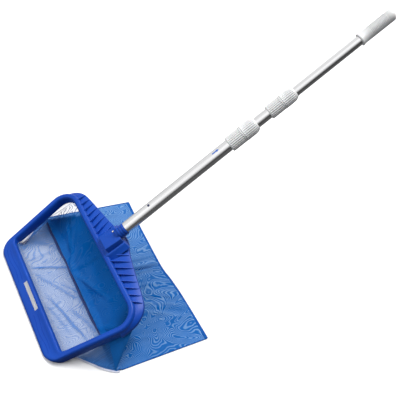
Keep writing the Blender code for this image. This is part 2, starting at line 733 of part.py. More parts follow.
build_head_frame()
build_handle_block()
build_block_screw()
build_clip_spring()
build_buttons()
build_bag_spline()
build_bag()
build_bag_trim()
build_pole()
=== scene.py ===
"""The finished looks of a pool leaf skimmer: a moulded rake head, a mesh bag and a telescopic pole.

Metres, in the row frame. Three local frames carry the pieces, as in the CAD model:
  head frame    x along the lip, y up the head's slope, z out of the head's top face
  pole frame    z along the pole from the end of the outer tube, -y towards the pole's upper side
  ground frame  the ground under the lip, unrotated
"""

import json
import math

import bmesh
import bpy
from mathutils import Matrix, Vector, noise

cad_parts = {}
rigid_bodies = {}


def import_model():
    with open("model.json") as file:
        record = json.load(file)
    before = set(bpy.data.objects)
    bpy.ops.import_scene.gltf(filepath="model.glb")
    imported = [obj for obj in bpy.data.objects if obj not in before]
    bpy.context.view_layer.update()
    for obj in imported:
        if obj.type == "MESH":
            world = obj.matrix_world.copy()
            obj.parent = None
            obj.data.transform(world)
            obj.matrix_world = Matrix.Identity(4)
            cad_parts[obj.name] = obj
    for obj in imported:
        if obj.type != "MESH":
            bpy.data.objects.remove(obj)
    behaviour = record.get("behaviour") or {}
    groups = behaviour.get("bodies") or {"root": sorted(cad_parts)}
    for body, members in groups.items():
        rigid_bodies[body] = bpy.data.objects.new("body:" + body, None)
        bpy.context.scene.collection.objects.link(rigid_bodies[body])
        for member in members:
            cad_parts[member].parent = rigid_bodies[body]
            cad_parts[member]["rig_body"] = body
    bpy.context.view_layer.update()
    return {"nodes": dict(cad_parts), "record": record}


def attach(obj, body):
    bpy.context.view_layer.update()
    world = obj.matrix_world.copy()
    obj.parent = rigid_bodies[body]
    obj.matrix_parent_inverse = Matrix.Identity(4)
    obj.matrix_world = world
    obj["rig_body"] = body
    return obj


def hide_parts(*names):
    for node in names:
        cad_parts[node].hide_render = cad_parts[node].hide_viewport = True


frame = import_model()

# ---------------------------------------------------------------- dimensions (metres)

HEAD_TILT = math.radians(38.2)
POLE_RISE = math.radians(46.7)
LIP_HEIGHT = 0.008
LIP_REST_BACK = 0.0091
HAND = 0.8284

FRONT_HALF_WIDTH = 0.1907
BACK_HALF_WIDTH = 0.2385
CREST_BACK = 0.2585
RIM_HALF_BREADTH = 0.0085
BLADE_DEPTH = 0.0445
FRONT_CORNER_R = 0.034
BACK_CORNER_R = 0.048
INNER_FRONT_CORNER_R = 0.012
RIM_ROUNDING = 0.0062
SKIRT_DEPTH = 0.032
BLADE_SKIRT_DEPTH = 0.016
WALL = 0.0026
LIP_WALL = 0.006
SKIRT_FLARE = 0.0008

FLANGE_ROOT_TOP = -0.011
FLANGE_MIDDLE_TOP = -0.0172
FLANGE_EDGE_TOP = -0.0225
FLANGE_THICKNESS = 0.003
FLANGE_LIP_DROP = 0.009
FLANGE_HALF_OUTLINE = [
    (0.018, 0.329), (0.034, 0.3215), (0.06, 0.3125), (0.115, 0.302), (0.163, 0.2935), (0.192, 0.2875),
    (0.21, 0.28), (0.225, 0.266), (0.235, 0.248), (0.24, 0.227), (0.2415, 0.196),
]
GUSSETS_PER_SIDE = 8
GUSSET_FIRST_X = 0.0415
GUSSET_PITCH = 0.0213
GUSSET_LAST_TIP_X = 0.203
GUSSET_THICKNESS = 0.0024
GUSSET_SLANT = math.radians(28)
GUSSET_TOP = -0.0005
GUSSET_MIDDLE_TOP = -0.0078

BAG_HALF_WIDTH = 0.277
BAG_FRONT = 0.163
BAG_LOW = 0.0006

SEED = 7

# ---------------------------------------------------------------- frames

MOUNTS = {m["name"]: m for m in frame["record"]["mounts"]}
GROUND_POINT = Vector(MOUNTS["lip_rest"]["pos_m"]) - Vector((0, LIP_REST_BACK, 0))
POLE_DIRECTION = Vector((0, math.cos(POLE_RISE), math.sin(POLE_RISE)))

GROUND = Matrix.Translation(GROUND_POINT)
HEAD = Matrix.Translation(GROUND_POINT + Vector((0, 0, LIP_HEIGHT))) @ Matrix.Rotation(HEAD_TILT, 4, "X")
POLE = Matrix.Translation(-HAND * POLE_DIRECTION) @ Matrix.Rotation(POLE_RISE - math.pi / 2, 4, "X")


def mix(a, b, share):
    return a + (b - a) * share


def smooth(edge_a, edge_b, x):
    """0 at edge_a, 1 at edge_b, with a soft start and end."""
    t = min(max((x - edge_a) / (edge_b - edge_a), 0), 1)
    return t * t * (3 - 2 * t)


def along(table, x):
    """A value read from a table of (place, value) by straight lines between its rows."""
    if x <= table[0][0]:
        return table[0][1]
    for (x0, y0), (x1, y1) in zip(table, table[1:]):
        if x <= x1:
            return mix(y0, y1, (x - x0) / (x1 - x0))
    return table[-1][1]


def head_to_ground(y, z):
    """(y, z) of the head frame as (y, z) from the ground under the lip."""
    sine, cosine = math.sin(HEAD_TILT), math.cos(HEAD_TILT)
    return Vector((y * cosine - z * sine, LIP_HEIGHT + y * sine + z * cosine))


def ground_in_head(y):
    return -(LIP_HEIGHT + y * math.sin(HEAD_TILT)) / math.cos(HEAD_TILT)


# ---------------------------------------------------------------- materials


class Paint:
    """A Principled material whose nodes are added one by one."""

    def __init__(self, name, **values):
        self.material = bpy.data.materials.new(name)
        self.material.use_nodes = True
        self.tree = self.material.node_tree
        self.shader = self.tree.nodes["Principled BSDF"]
        for socket, value in values.items():
            self.shader.inputs[socket.replace("_", " ")].default_value = value

    def node(self, kind, inputs=None, **settings):
        made = self.tree.nodes.new("ShaderNode" + kind)
        for key, value in settings.items():
            setattr(made, key, value)
        for key, value in (inputs or {}).items():
            self.feed(made.inputs[key], value)
        return made

    def feed(self, socket, value):
        if isinstance(value, bpy.types.NodeSocket):
            self.tree.links.new(value, socket)
        else:
            socket.default_value = value

    def place(self, scale=(1, 1, 1), turn=(0, 0, 0)):
        """Object coordinates, stretched and turned."""
        where = self.node("TexCoord").outputs["Object"]
        return self.node("Mapping", {"Vector": where, "Scale": scale, "Rotation": turn}).outputs["Vector"]

    def noise(self, vector, scale, detail=2.0, roughness=0.5, distortion=0.0):
        inputs = {"Vector": vector, "Scale": scale, "Detail": detail}
        inputs |= {"Roughness": roughness, "Distortion": distortion}
        return self.node("TexNoise", inputs).outputs["Fac"]

    def ramp(self, value, stops):
        """A colour ramp from (place, grey or colour) stops."""
        made = self.node("ValToRGB", {"Fac": value})
        band = made.color_ramp
        while len(band.elements) < len(stops):
            band.elements.new(0.5)
        for element, (place, colour) in zip(band.elements, stops):
            element.position = place
            element.color = (colour, colour, colour, 1) if isinstance(colour, float) else (*colour, 1)
        return made.outputs["Color"]

    def math(self, operation, a, b=0.0, c=0.0, clamp=False):
        made = self.node("Math", operation=operation, use_clamp=clamp)
        for socket, value in zip(made.inputs, (a, b, c)):
            self.feed(socket, value)
        return made.outputs[0]

    def times(self, a, b):
        return self.math("MULTIPLY", a, b)

    def rise(self, value, low, high):
        """0 up to low, 1 from high."""
        return self.ramp(value, [(low, 0.0), (high, 1.0)])

    def blend(self, factor, a, b):
        made = self.node("Mix", data_type="RGBA")
        self.feed(made.inputs[0], factor)
        self.feed(made.inputs[6], a if isinstance(a, bpy.types.NodeSocket) else (*a, 1))
        self.feed(made.inputs[7], b if isinstance(b, bpy.types.NodeSocket) else (*b, 1))
        return made.outputs[2]

    def spread(self, value, low, high):
        """A 0 to 1 value spread from low to high."""
        made = self.node("MapRange", {"Value": value, "To Min": low, "To Max": high})
        return made.outputs["Result"]

    def bump(self, height, strength, distance):
        inputs = {"Height": height, "Strength": strength, "Distance": distance}
        self.feed(self.shader.inputs["Normal"], self.node("Bump", inputs).outputs["Normal"])

    def set(self, socket, value):
        self.feed(self.shader.inputs[socket], value)


class Sky(Paint):
    """A world's background, painted in the same way."""

    def __init__(self, shown_world):
        self.tree = shown_world.node_tree
        self.shader = self.tree.nodes["Background"]


def moulded(name, colour, light, dark, roughness=(0.3, 0.46), grain=900, wear=0.35, **values):
    """Moulded plastic: slow colour drift, a fine grain, faint handling marks and paler worn edges."""
    paint = Paint(name, **values)
    spot = paint.place()
    drift = paint.noise(spot, 9, 3)
    body = paint.blend(paint.rise(drift, 0.3, 0.72), dark, colour)
    edge = paint.node("NewGeometry").outputs["Pointiness"]
    worn = paint.times(paint.rise(edge, 0.52, 0.6), wear)
    body = paint.blend(worn, body, light)
    speckle = paint.noise(spot, 420, 2)
    flecks = paint.times(paint.rise(speckle, 0.66, 0.78), 0.12)
    paint.set("Base Color", paint.blend(flecks, body, light))
    rub = paint.noise(paint.place((1, 0.25, 1), (0.2, 0.4, 0.9)), 60, 4, 0.65)
    paint.set("Roughness", paint.spread(rub, *roughness))
    fine = paint.noise(spot, grain, 3, 0.6)
    paint.bump(paint.math("ADD", fine, paint.times(rub, 0.6)), 0.1, 0.0004)
    return paint.material


def drawn_metal(name, colour, roughness=(0.22, 0.4), **values):
    """Tube drawn and anodised: hair lines along z, soft smudges."""
    paint = Paint(name, **values)
    hair = paint.noise(paint.place((1, 1, 0.006)), 700, 3, 0.6)
    smudge = paint.noise(paint.place((1, 1, 0.4)), 22, 3, 0.6)
    tone = paint.blend(paint.rise(hair, 0.35, 0.65), [c * 0.86 for c in colour], colour)
    cloudy = paint.times(paint.rise(smudge, 0.45, 0.75), 0.16)
    paint.set("Base Color", paint.blend(cloudy, tone, [c * 0.8 for c in colour]))
    haze = paint.math("ADD", paint.times(hair, 0.6), paint.times(smudge, 0.4))
    paint.set("Roughness", paint.spread(haze, *roughness))
    paint.bump(hair, 0.1, 0.0002)
    return paint.material


LOOKS = ("solid", "deepness", "figure", "crease")
WATERED_LINES = 290.0
WEAVE_SCALE = 230.0


def woven_mesh(name, pale, deep, **values):
    """Translucent woven mesh.

    Values stored on the mesh say how each place looks. solid is how much it hides of what is behind it,
    deepness its colour from pale to deep, with values above 1 adding painted shade, figure the pale watered
    lines' strength, crease the dense ones', which also carry painted shade near the ridge and in the rising
    sheet's creases.
    """
    paint = Paint(name, **values)
    cloth = paint.node("Attribute", attribute_name="cloth").outputs["Vector"]
    solid, deepness, figure, crease = (
        paint.node("Attribute", attribute_name=key).outputs["Fac"] for key in LOOKS)

    stretched = paint.node("Mapping", {"Vector": cloth, "Scale": (1.0, 0.5, 1.0)}).outputs["Vector"]
    hills = paint.noise(stretched, 11.0, 2.0, 0.45, 0.7)
    rough = paint.noise(cloth, 55, 2)
    height = paint.math("MULTIPLY_ADD", rough, 0.02, hills)
    waves = paint.math("SINE", paint.times(height, WATERED_LINES))
    lines = paint.rise(paint.math("MULTIPLY_ADD", waves, 0.5, 0.5), 0.48, 0.98)
    patch = paint.ramp(paint.noise(stretched, 14, 3, 0.6), [(0.32, 0.4), (0.58, 1.0)])
    lines = paint.times(lines, patch)
    pale_lines = paint.times(lines, figure)
    furrows = paint.ramp(paint.math("MULTIPLY_ADD", waves, -0.5, 0.5), [(0.45, 0.0), (1.0, 0.35)])
    furrows = paint.times(furrows, figure)
    dense_lines = paint.times(lines, crease)

    threads = {"Vector": cloth, "Scale": WEAVE_SCALE}
    bands = [paint.node("TexWave", threads, wave_type="BANDS", bands_direction=way) for way in "XY"]
    weave = paint.math("MAXIMUM", *(band.outputs["Fac"] for band in bands))
    drift = paint.rise(paint.noise(cloth, 24, 4, 0.6), 0.3, 0.72)
    grain = paint.rise(paint.noise(cloth, 330, 2, 0.6), 0.34, 0.66)
    shade = paint.math("MULTIPLY_ADD", grain, 0.5, paint.times(drift, 0.5))

    body = paint.blend(deepness, pale, deep)
    # Painted shade: deepness above 1 darkens the colour towards a dim copy of the deep blue.
    painted_shade = paint.math("SUBTRACT", deepness, 1.0, clamp=True)
    body = paint.blend(painted_shade, body, [c * 0.22 for c in deep])
    body = paint.blend(paint.times(shade, 0.55), body, [c * 0.62 for c in deep])
    body = paint.blend(furrows, body, [c * 0.6 for c in deep])
    body = paint.blend(paint.times(pale_lines, 0.56), body, (0.34, 0.54, 0.78))
    paint.set("Base Color", paint.blend(paint.times(dense_lines, 0.55), body, deep))
    veil = paint.math("MULTIPLY_ADD", pale_lines, -0.1, solid)
    veil = paint.math("MULTIPLY_ADD", dense_lines, 0.42, veil)
    veil = paint.math("MULTIPLY_ADD", paint.math("SUBTRACT", grain, 0.5), 0.1, veil)
    veil = paint.math("MULTIPLY_ADD", paint.math("SUBTRACT", weave, 0.7), 0.12, veil, clamp=True)
    paint.set("Alpha", veil)
    paint.bump(paint.math("ADD", weave, paint.times(drift, 0.8)), 0.25, 0.0005)
    return paint.material


def taped(name, colour, dark, scale=420.0, **values):
    """Woven tape: fine ribs across it and slight soiling."""
    paint = Paint(name, **values)
    spot = paint.place()
    inputs = {"Vector": spot, "Scale": scale, "Distortion": 0.6}
    ribs = paint.node("TexWave", inputs, wave_type="BANDS", bands_direction="DIAGONAL").outputs["Fac"]
    soil = paint.noise(spot, 60, 4, 0.6)
    tone = paint.blend(paint.rise(soil, 0.35, 0.75), colour, dark)
    paint.set("Base Color", paint.blend(paint.times(ribs, 0.3), tone, dark))
    paint.bump(ribs, 0.4, 0.0004)
    return paint.material


ROYAL = moulded(
    "royal_blue_plastic", (0.004, 0.06, 0.385), (0.04, 0.14, 0.6), (0.003, 0.044, 0.31),
    IOR=1.45, Specular_IOR_Level=0.3)
NAVY = moulded("navy_plastic", (0.01, 0.02, 0.09), (0.1, 0.14, 0.3), (0.006, 0.012, 0.06), IOR=1.48)
OFF_WHITE = moulded(
    "off_white_plastic", (0.75, 0.75, 0.75), (0.82, 0.82, 0.82), (0.69, 0.69, 0.69),
    (0.32, 0.48), wear=0.25, IOR=1.48, Subsurface_Weight=0.04)
LABEL = moulded(
    "label_print", (0.78, 0.79, 0.8), (0.83, 0.83, 0.84), (0.72, 0.73, 0.75), (0.35, 0.5), wear=0.1)
ARROW = moulded(
    "arrow_print", (0.01, 0.11, 0.45), (0.1, 0.3, 0.8), (0.015, 0.1, 0.5), (0.35, 0.5), wear=0.1)
# Painted shade: the blade's recessed lines are drawn as thin raised strips, darker than the blade, standing
# for the shade in them.
GROOVE_SHADE = moulded(
    "blade_line", (0.003, 0.036, 0.3), (0.01, 0.06, 0.4), (0.002, 0.028, 0.24), (0.5, 0.6), wear=0.1,
    Specular_IOR_Level=0.1)
ALUMINIUM = drawn_metal(
    "drawn_aluminium", (0.92, 0.92, 0.93), (0.16, 0.3), Metallic=1.0, Anisotropic=0.35)
STEEL = drawn_metal("zinc_steel", (0.8, 0.76, 0.66), (0.25, 0.45), Metallic=1.0)
MESH = woven_mesh(
    "blue_mesh", (0.12, 0.28, 0.62), (0.001, 0.125, 0.47), Roughness=0.85, Specular_IOR_Level=0.06)
HEM = taped(
    "hem_cloth", (0.008, 0.105, 0.4), (0.004, 0.06, 0.28), 300.0, Roughness=0.85, Specular_IOR_Level=0.1)
THREAD = taped("hem_thread", (0.06, 0.22, 0.6), (0.03, 0.15, 0.48), 900.0, Roughness=0.7)
TAPE = taped("edge_tape", (0.66, 0.68, 0.76), (0.4, 0.42, 0.55), Roughness=0.8)
# Painted shadow: the dark strip along the bag's fold stands for the fold's shadow, drawn with the woven tape
# look.
FOLD_SHADOW = taped("painted_fold_shadow", (0.03, 0.05, 0.17), (0.012, 0.024, 0.1), Roughness=0.8)

# ---------------------------------------------------------------- mesh helpers


def piece(name, made, paint, where, sharp=40, stands_for=(), bevel=0.0, body="head"):
    """Puts a bmesh in the scene as a finished piece, placed by a frame, riding on a body."""
    bmesh.ops.recalc_face_normals(made, faces=made.faces)
    mesh = bpy.data.meshes.new(name)
    made.to_mesh(mesh)
    made.free()
    mesh.materials.append(paint)
    thing = bpy.data.objects.new(name, mesh)
    bpy.context.collection.objects.link(thing)
    thing.matrix_world = where
    if bevel:
        edge = thing.modifiers.new("rounded_edges", "BEVEL")
        edge.width = bevel
        edge.segments = 2
        edge.angle_limit = math.radians(35)
        settle(thing)
    thing.data.shade_smooth()
    thing.data.set_sharp_from_angle(angle=math.radians(sharp))
    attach(thing, body)
    if stands_for:
        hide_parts(*stands_for)
    return thing


def settle(thing):
    """Makes a piece's modifiers part of its mesh."""
    bpy.context.view_layer.update()
    shown = thing.evaluated_get(bpy.context.evaluated_depsgraph_get())
    result = bpy.data.meshes.new_from_object(shown)
    thing.modifiers.clear()
    thing.data = result


def loft(rings, around=True, closed=True, ends=False):
    """A surface through rings of points. around joins the last ring to the first, closed each ring's ends."""
    made = bmesh.new()
    rows = [[made.verts.new(point) for point in ring] for ring in rings]
    for k in range(len(rows) if around else len(rows) - 1):
        here, there = rows[k], rows[(k + 1) % len(rows)]
        for i in range(len(here) if closed else len(here) - 1):
            j = (i + 1) % len(here)
            made.faces.new((here[i], here[j], there[j], there[i]))
    if ends:
        made.faces.new(rows[0][::-1])
        made.faces.new(rows[-1])
    return made


def turned(profile, segments=96, flutes=0, depth=0.0):
    """A solid turned about z from a closed outline of (radius, z) or (radius, z, fluted) points."""
    rings = []
    for point in profile:
        ring = []
        for i in range(segments):
            turn = 2 * math.pi * i / segments
            groove = (0.5 - 0.5 * math.cos(flutes * turn)) ** 2.4
            r = point[0] - (depth * groove if len(point) > 2 else 0.0)
            ring.append((r * math.cos(turn), r * math.sin(turn), point[1]))
        rings.append(ring)
    return loft(rings)


def capped(profile, segments=96):
    """A solid turned about z whose profile starts and ends on the axis."""
    made = loft([[(r * math.cos(2 * math.pi * i / segments), r * math.sin(2 * math.pi * i / segments), z)
                  for i in range(segments)] for r, z in profile[1:-1]], around=False)
    made.verts.ensure_lookup_table()
    rows = (list(made.verts)[:segments], list(made.verts)[-segments:])
    for ring, end in zip(rows, (profile[0], profile[-1])):
        tip = made.verts.new((0, 0, end[1]))
        for i in range(segments):
            made.faces.new((ring[i], ring[(i + 1) % segments], tip))
    return made


def finer_copy(node, name, paint, where, bevel=0.0):
    """A CAD node's shape with its seams welded, its edges rounded and smooth shading."""
    made = bmesh.new()
    made.from_mesh(frame["nodes"][node].data)
    bmesh.ops.remove_doubles(made, verts=made.verts, dist=2e-6)
    bmesh.ops.dissolve_limit(made, angle_limit=math.radians(0.5), verts=made.verts, edges=made.edges)
    made.transform(where.inverted())
    body = frame["nodes"][node]["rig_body"]
    return piece(name, made, paint, where, 35, (node,), bevel, body)


# ---------------------------------------------------------------- head

ARC_STEPS = 14
SIDE_STEPS = (48, 26, 48, 26)


def corner_arcs(corners, radii, steps):
    """A closed outline's round corners, each as an arc of points."""
    arcs = []
    for k, corner in enumerate(map(Vector, corners)):
        back = (Vector(corners[k - 1]) - corner).normalized()
        ahead = (Vector(corners[(k + 1) % len(corners)]) - corner).normalized()
        half = back.angle(ahead) / 2
        centre = corner + (back + ahead).normalized() * radii[k] / math.sin(half)
        reach = radii[k] / math.tan(half)
        start, end = corner + back * reach - centre, corner + ahead * reach - centre
        sweep = start.angle(end)
        arc = []
        for i in range(steps + 1):
            weights = math.sin((1 - i / steps) * sweep), math.sin(i / steps * sweep)
            arc.append(centre + (start * weights[0] + end * weights[1]) / math.sin(sweep))
        arcs.append(arc)
    return arcs


def rounded_loop(corners, radii):
    """A closed outline with round corners. Every loop has the same number of points."""
    arcs = corner_arcs(corners, radii, ARC_STEPS)
    points = []
    for k, arc in enumerate(arcs):
        following = arcs[(k + 1) % len(arcs)][0]
        points += arc + [arc[-1].lerp(following, i / SIDE_STEPS[k]) for i in range(1, SIDE_STEPS[k])]
    return points


def rim_loop(grow, front, back, front_radius, back_radius):
    """An outline at a distance grow outside the rim's crest, from front to back."""
    slope = (BACK_HALF_WIDTH - FRONT_HALF_WIDTH) / CREST_BACK
    near = FRONT_HALF_WIDTH + grow + slope * front
    far = FRONT_HALF_WIDTH + grow + slope * back
    corners = [(-near, front), (near, front), (far, back), (-far, back)]
    return rounded_loop(corners, (front_radius, front_radius, back_radius, back_radius))


INNER_LOOP = rim_loop(-RIM_HALF_BREADTH, BLADE_DEPTH, CREST_BACK - RIM_HALF_BREADTH,
                      INNER_FRONT_CORNER_R, BACK_CORNER_R - RIM_HALF_BREADTH)
OUTER_LOOP = rim_loop(RIM_HALF_BREADTH, 0, CREST_BACK + RIM_HALF_BREADTH,
                      FRONT_CORNER_R + RIM_HALF_BREADTH, BACK_CORNER_R + RIM_HALF_BREADTH)
BLADE_TOP = [(0, -0.003), (0.05, -0.0002), (0.15, 0.0), (0.28, -0.0016), (0.42, -0.0022), (0.58, -0.0021),
             (0.72, -0.0014), (0.85, -0.0009), (0.95, -0.0022), (1, -0.0046)]
CROSS_STEPS = 22


def blade_share(breadth):
    """0 where the rim is narrow, 1 where it is the wide front blade."""
    return min(max((breadth - 2.2 * RIM_HALF_BREADTH) / (BLADE_DEPTH - 2.2 * RIM_HALF_BREADTH), 0), 1)


def rim_height(share, blade):
    """The height of the rim's top face at a share of the way from its inner edge to its outer one."""
    rim = -RIM_ROUNDING * abs(2 * share - 1) ** 3.4
    return mix(rim, along(BLADE_TOP, share), blade)


def frame_section(inner, outer):
    across = outer - inner
    breadth = across.length
    outward = across.normalized()
    blade = blade_share(breadth)
    wall = mix(WALL, LIP_WALL, blade)
    depth = mix(SKIRT_DEPTH, BLADE_SKIRT_DEPTH, blade)

    def at(distance, z):
        flat = inner + outward * distance
        return (flat.x, flat.y, max(z, ground_in_head(flat.y)))

    section = [at(0, -depth)]
    for i in range(CROSS_STEPS + 1):
        share = 0.5 - 0.5 * math.cos(math.pi * i / CROSS_STEPS)
        section.append(at(share * breadth, rim_height(share, blade)))
    section.append(at(breadth + SKIRT_FLARE, -SKIRT_DEPTH))
    section.append(at(breadth + SKIRT_FLARE - wall, -SKIRT_DEPTH))
    section.append(at(breadth - wall, -RIM_ROUNDING - WALL * 0.6))
    section.append(at(WALL, -RIM_ROUNDING - WALL * 0.6))
    section.append(at(WALL, -depth))
    return section


def resampled(points, steps):
    """Points at even distances along a line of points."""
    lengths = [0.0]
    for here, there in zip(points, points[1:]):
        lengths.append(lengths[-1] + (there - here).length)
    even = []
    k = 0
    for i in range(steps + 1):
        target = lengths[-1] * i / steps
        while k < len(points) - 2 and lengths[k + 1] < target:
            k += 1
        even.append(points[k].lerp(points[k + 1], (target - lengths[k]) / (lengths[k + 1] - lengths[k])))
    return even


def rounded_line(points, rounds=2):
    """A line of points with its corners cut again and again, its ends kept."""
    for _ in range(rounds):
        cut = [points[0]]
        for here, there in zip(points, points[1:]):
            cut += [here.lerp(there, 0.25), here.lerp(there, 0.75)]
        points = cut + [points[-1]]
    return points


FLANGE_STEPS = 150


def flange():
    edge = [Vector((-x, y)) for x, y in reversed(FLANGE_HALF_OUTLINE)]
    edge += [Vector(point) for point in FLANGE_HALF_OUTLINE]
    edge = rounded_line(edge)
    rim = []
    for inner, outer in zip(INNER_LOOP, OUTER_LOOP):
        if outer.y > edge[0].y:
            rim.append(outer + (inner - outer).normalized() * WALL / 2)
    sections = []
    for free, fixed in zip(resampled(edge, FLANGE_STEPS), resampled(rim[::-1], FLANGE_STEPS)):
        reach = (free - fixed).length
        inward = (fixed - free) / reach
        wall = min(WALL, reach / 2)
        middle = free.lerp(fixed, 0.45)
        lip_in = free + inward * wall
        low = FLANGE_EDGE_TOP - FLANGE_LIP_DROP
        sections.append([
            (*free, FLANGE_EDGE_TOP), (*middle, FLANGE_MIDDLE_TOP), (*fixed, FLANGE_ROOT_TOP),
            (*fixed, FLANGE_ROOT_TOP - FLANGE_THICKNESS), (*middle, FLANGE_MIDDLE_TOP - FLANGE_THICKNESS),
            (*lip_in, FLANGE_EDGE_TOP - FLANGE_THICKNESS), (*lip_in, low), (*free, low),
        ])
    return loft(sections, around=False, ends=True)


def flange_back(x):
    return along(FLANGE_HALF_OUTLINE, abs(x))


def gusset(side, k):
    """A slanted rib, tall at the rim and running out at the flange's edge, with a soft top edge."""
    root_y = CREST_BACK + RIM_HALF_BREADTH - WALL / 2
    middle_x = GUSSET_FIRST_X + k * GUSSET_PITCH
    half = math.tan(GUSSET_SLANT) * (flange_back(middle_x) - root_y) / 2
    root = Vector((middle_x - half, root_y))
    tip = Vector((min(middle_x + half, GUSSET_LAST_TIP_X), 0))
    tip.y = flange_back(tip.x) - WALL / 2
    direction = (tip - root).normalized()
    aside = Vector((direction.y, -direction.x)) * GUSSET_THICKNESS / 2
    rings = []
    for i in range(9):
        share = i / 8
        at = root.lerp(tip, share)
        top = along([(0, GUSSET_TOP), (0.5, GUSSET_MIDDLE_TOP), (1, FLANGE_EDGE_TOP + 0.0022)], share)
        top -= 0.001 * math.sin(math.pi * share)
        foot = along([(0, FLANGE_ROOT_TOP), (0.5, FLANGE_MIDDLE_TOP), (1, FLANGE_EDGE_TOP)], share) - 0.0015
        ring = []
        for across, z in ((-1.25, foot), (-1, mix(foot, top, 0.5)), (-0.7, top), (0.7, top),
                          (1, mix(foot, top, 0.5)), (1.25, foot)):
            flat = at + aside * across
            ring.append((side * flat.x, flat.y, z))
        rings.append(ring)
    return loft(rings, around=False, ends=True)


def joined(parts):
    """Several bmeshes as one."""
    made = bmesh.new()
    for part in parts:
        mesh = bpy.data.meshes.new("part")
        bmesh.ops.recalc_face_normals(part, faces=part.faces)
        part.to_mesh(mesh)
        part.free()
        made.from_mesh(mesh)
        bpy.data.meshes.remove(mesh)
    return made


def ribbon(points, normals, half, height):
    """A thin raised strip along points on a surface, with sloping sides."""
    rings = []
    for k, (point, up) in enumerate(zip(points, normals)):
        ahead = (points[min(k + 1, len(points) - 1)] - points[max(k - 1, 0)]).normalized()
        aside = ahead.cross(up).normalized()
        ring = []
        for across, rise in ((-1, -0.4), (-0.7, 1), (0.7, 1), (1, -0.4)):
            ring.append(point + aside * half * across + up * height * rise)
        rings.append(ring)
    return loft(rings, around=False, ends=True)


def blade_point(x, y):
    """A point on the blade's top face in the head frame."""
    share = (BLADE_DEPTH - y) / BLADE_DEPTH
    return Vector((x, y, rim_height(share, 1)))


SEAT_BACK = 0.3225
SEAT_KNEE = 0.2705
SEAT_FRONT = 0.262
SEAT_RINGS = [  # how far it is spread, height
    (0, -0.024), (0.0135, -0.0138), (0.0105, -0.0108), (0.007, -0.007), (0.0035, -0.003), (0, 0.0015),
]
BLADE_LINES = [  # from x to x, y, lean, swing
    (0.056, 0.176, 0.0145, 0.0005, 0.0022), (0.06, 0.168, 0.0262, -0.003, 0.0016),
]
LABEL_HALF_LENGTH = 0.047
LABEL_FRONT, LABEL_BACK = 0.0248, 0.0362


def seat():
    """The stepped rise of the flange under the handle block."""
    rings = []
    for spread, z in SEAT_RINGS:
        front, middle, back = 0.0325 + spread, 0.033 + spread, 0.0295 + spread
        end = SEAT_BACK + 0.3 * spread
        half = [(front, SEAT_FRONT), (middle, SEAT_KNEE), (back, end)]
        outline = [(-front, SEAT_FRONT)] + half + [(-back, end), (-middle, SEAT_KNEE)]
        rings.append([(x, y, z) for x, y in outline])
    return loft(rings, around=False, ends=True)


def blade_line(side, start, end, y0, lean, swing):
    """A fine wandering line on one half of the blade."""
    points = []
    for i in range(41):
        share = i / 40
        y = y0 + lean * share + swing * math.sin(2.6 * math.pi * share + side)
        points.append(blade_point(side * mix(start, end, share), y))
    return ribbon(points, [Vector((0, 0, 1))] * len(points), 0.0007, 0.00022)


def blank_label(columns=24, rows=8):
    rings = []
    for r in range(rows + 1):
        xs = [mix(-LABEL_HALF_LENGTH, LABEL_HALF_LENGTH, c / columns) for c in range(columns + 1)]
        y = mix(LABEL_FRONT, LABEL_BACK, r / rows)
        rings.append([blade_point(x, y) + Vector((0, 0, 0.00035)) for x in xs])
    label = loft(rings, around=False, closed=False)
    bmesh.ops.solidify(label, geom=label.faces[:], thickness=0.0003)
    return label


def build_head():
    rim = loft([frame_section(i, o) for i, o in zip(INNER_LOOP, OUTER_LOOP)])
    piece("head_rim", rim, ROYAL, HEAD, 38, ("head_frame",), bevel=0.0004)
    piece("head_flange", flange(), ROYAL, HEAD, 30, bevel=0.0006)
    ribs = joined([gusset(side, k) for side in (-1, 1) for k in range(GUSSETS_PER_SIDE)])
    piece("head_gussets", ribs, ROYAL, HEAD, 30, bevel=0.0004)
    piece("head_seat", seat(), ROYAL, HEAD, 50, bevel=0.0012)
    lines = joined([blade_line(side, *line) for side in (-1, 1) for line in BLADE_LINES])
    piece("blade_lines", lines, GROOVE_SHADE, HEAD, 60)
    piece("blank_label", blank_label(), LABEL, HEAD, 40)
    finer_copy("handle_block", "handle_block_shell", ROYAL, HEAD, bevel=0.0005)
    finer_copy("block_screw", "block_screw_head", STEEL, HEAD, bevel=0.0002)


# ---------------------------------------------------------------- pole


OUTER_TUBE_R, MIDDLE_TUBE_R, INNER_TUBE_R = 0.015875, 0.0143, 0.0127
TUBES = {  # radius, start and end along the pole, body
    "outer": (OUTER_TUBE_R, 0.0, 0.3935, "head"),
    "middle": (MIDDLE_TUBE_R, 0.163, 0.5225, "middle"),
    "inner": (INNER_TUBE_R, 0.45, 0.868, "inner"),
}
LOCKS = {  # tube, next tube, start, split, end, body radius, nut radius, flutes, bodies of the barrel and cap
    "lower": (OUTER_TUBE_R, MIDDLE_TUBE_R, 0.354, 0.4002, 0.444, 0.0214, 0.022, 24, "head", "lower_nut"),
    "upper": (MIDDLE_TUBE_R, INNER_TUBE_R, 0.4847, 0.5286, 0.5705, 0.019, 0.0196, 22, "middle", "upper_nut"),
}
FLUTE_DEPTH = 0.0022
HOLE_STATION = 0.0883
HOLE_R = 0.0036
GRIP_START = 0.7754
GRIP_LENGTH = 0.106
GRIP_R = 0.0158
GRIP_BORE_R = 0.013
GRIP_LIP_R = GRIP_R + 0.0012
GRIP_RINGS = 14
GRIP_RING_PITCH = 0.0039
GRIP_DOME = 0.01


def at_station(station):
    return POLE @ Matrix.Translation((0, 0, station))


def build_tube(name, wall=0.0012, soft=0.0004):
    radius, start, end, body = TUBES[name]
    bore, length = radius - wall, end - start
    profile = [(radius, soft), (radius, length - soft), (radius - soft, length), (bore + soft, length),
               (bore, length - soft), (bore, soft), (bore + soft, 0), (radius - soft, 0)]
    skin = turned(profile)
    return piece(f"{name}_tube_skin", skin, ALUMINIUM, at_station(start), 40, (f"{name}_tube",), body=body)


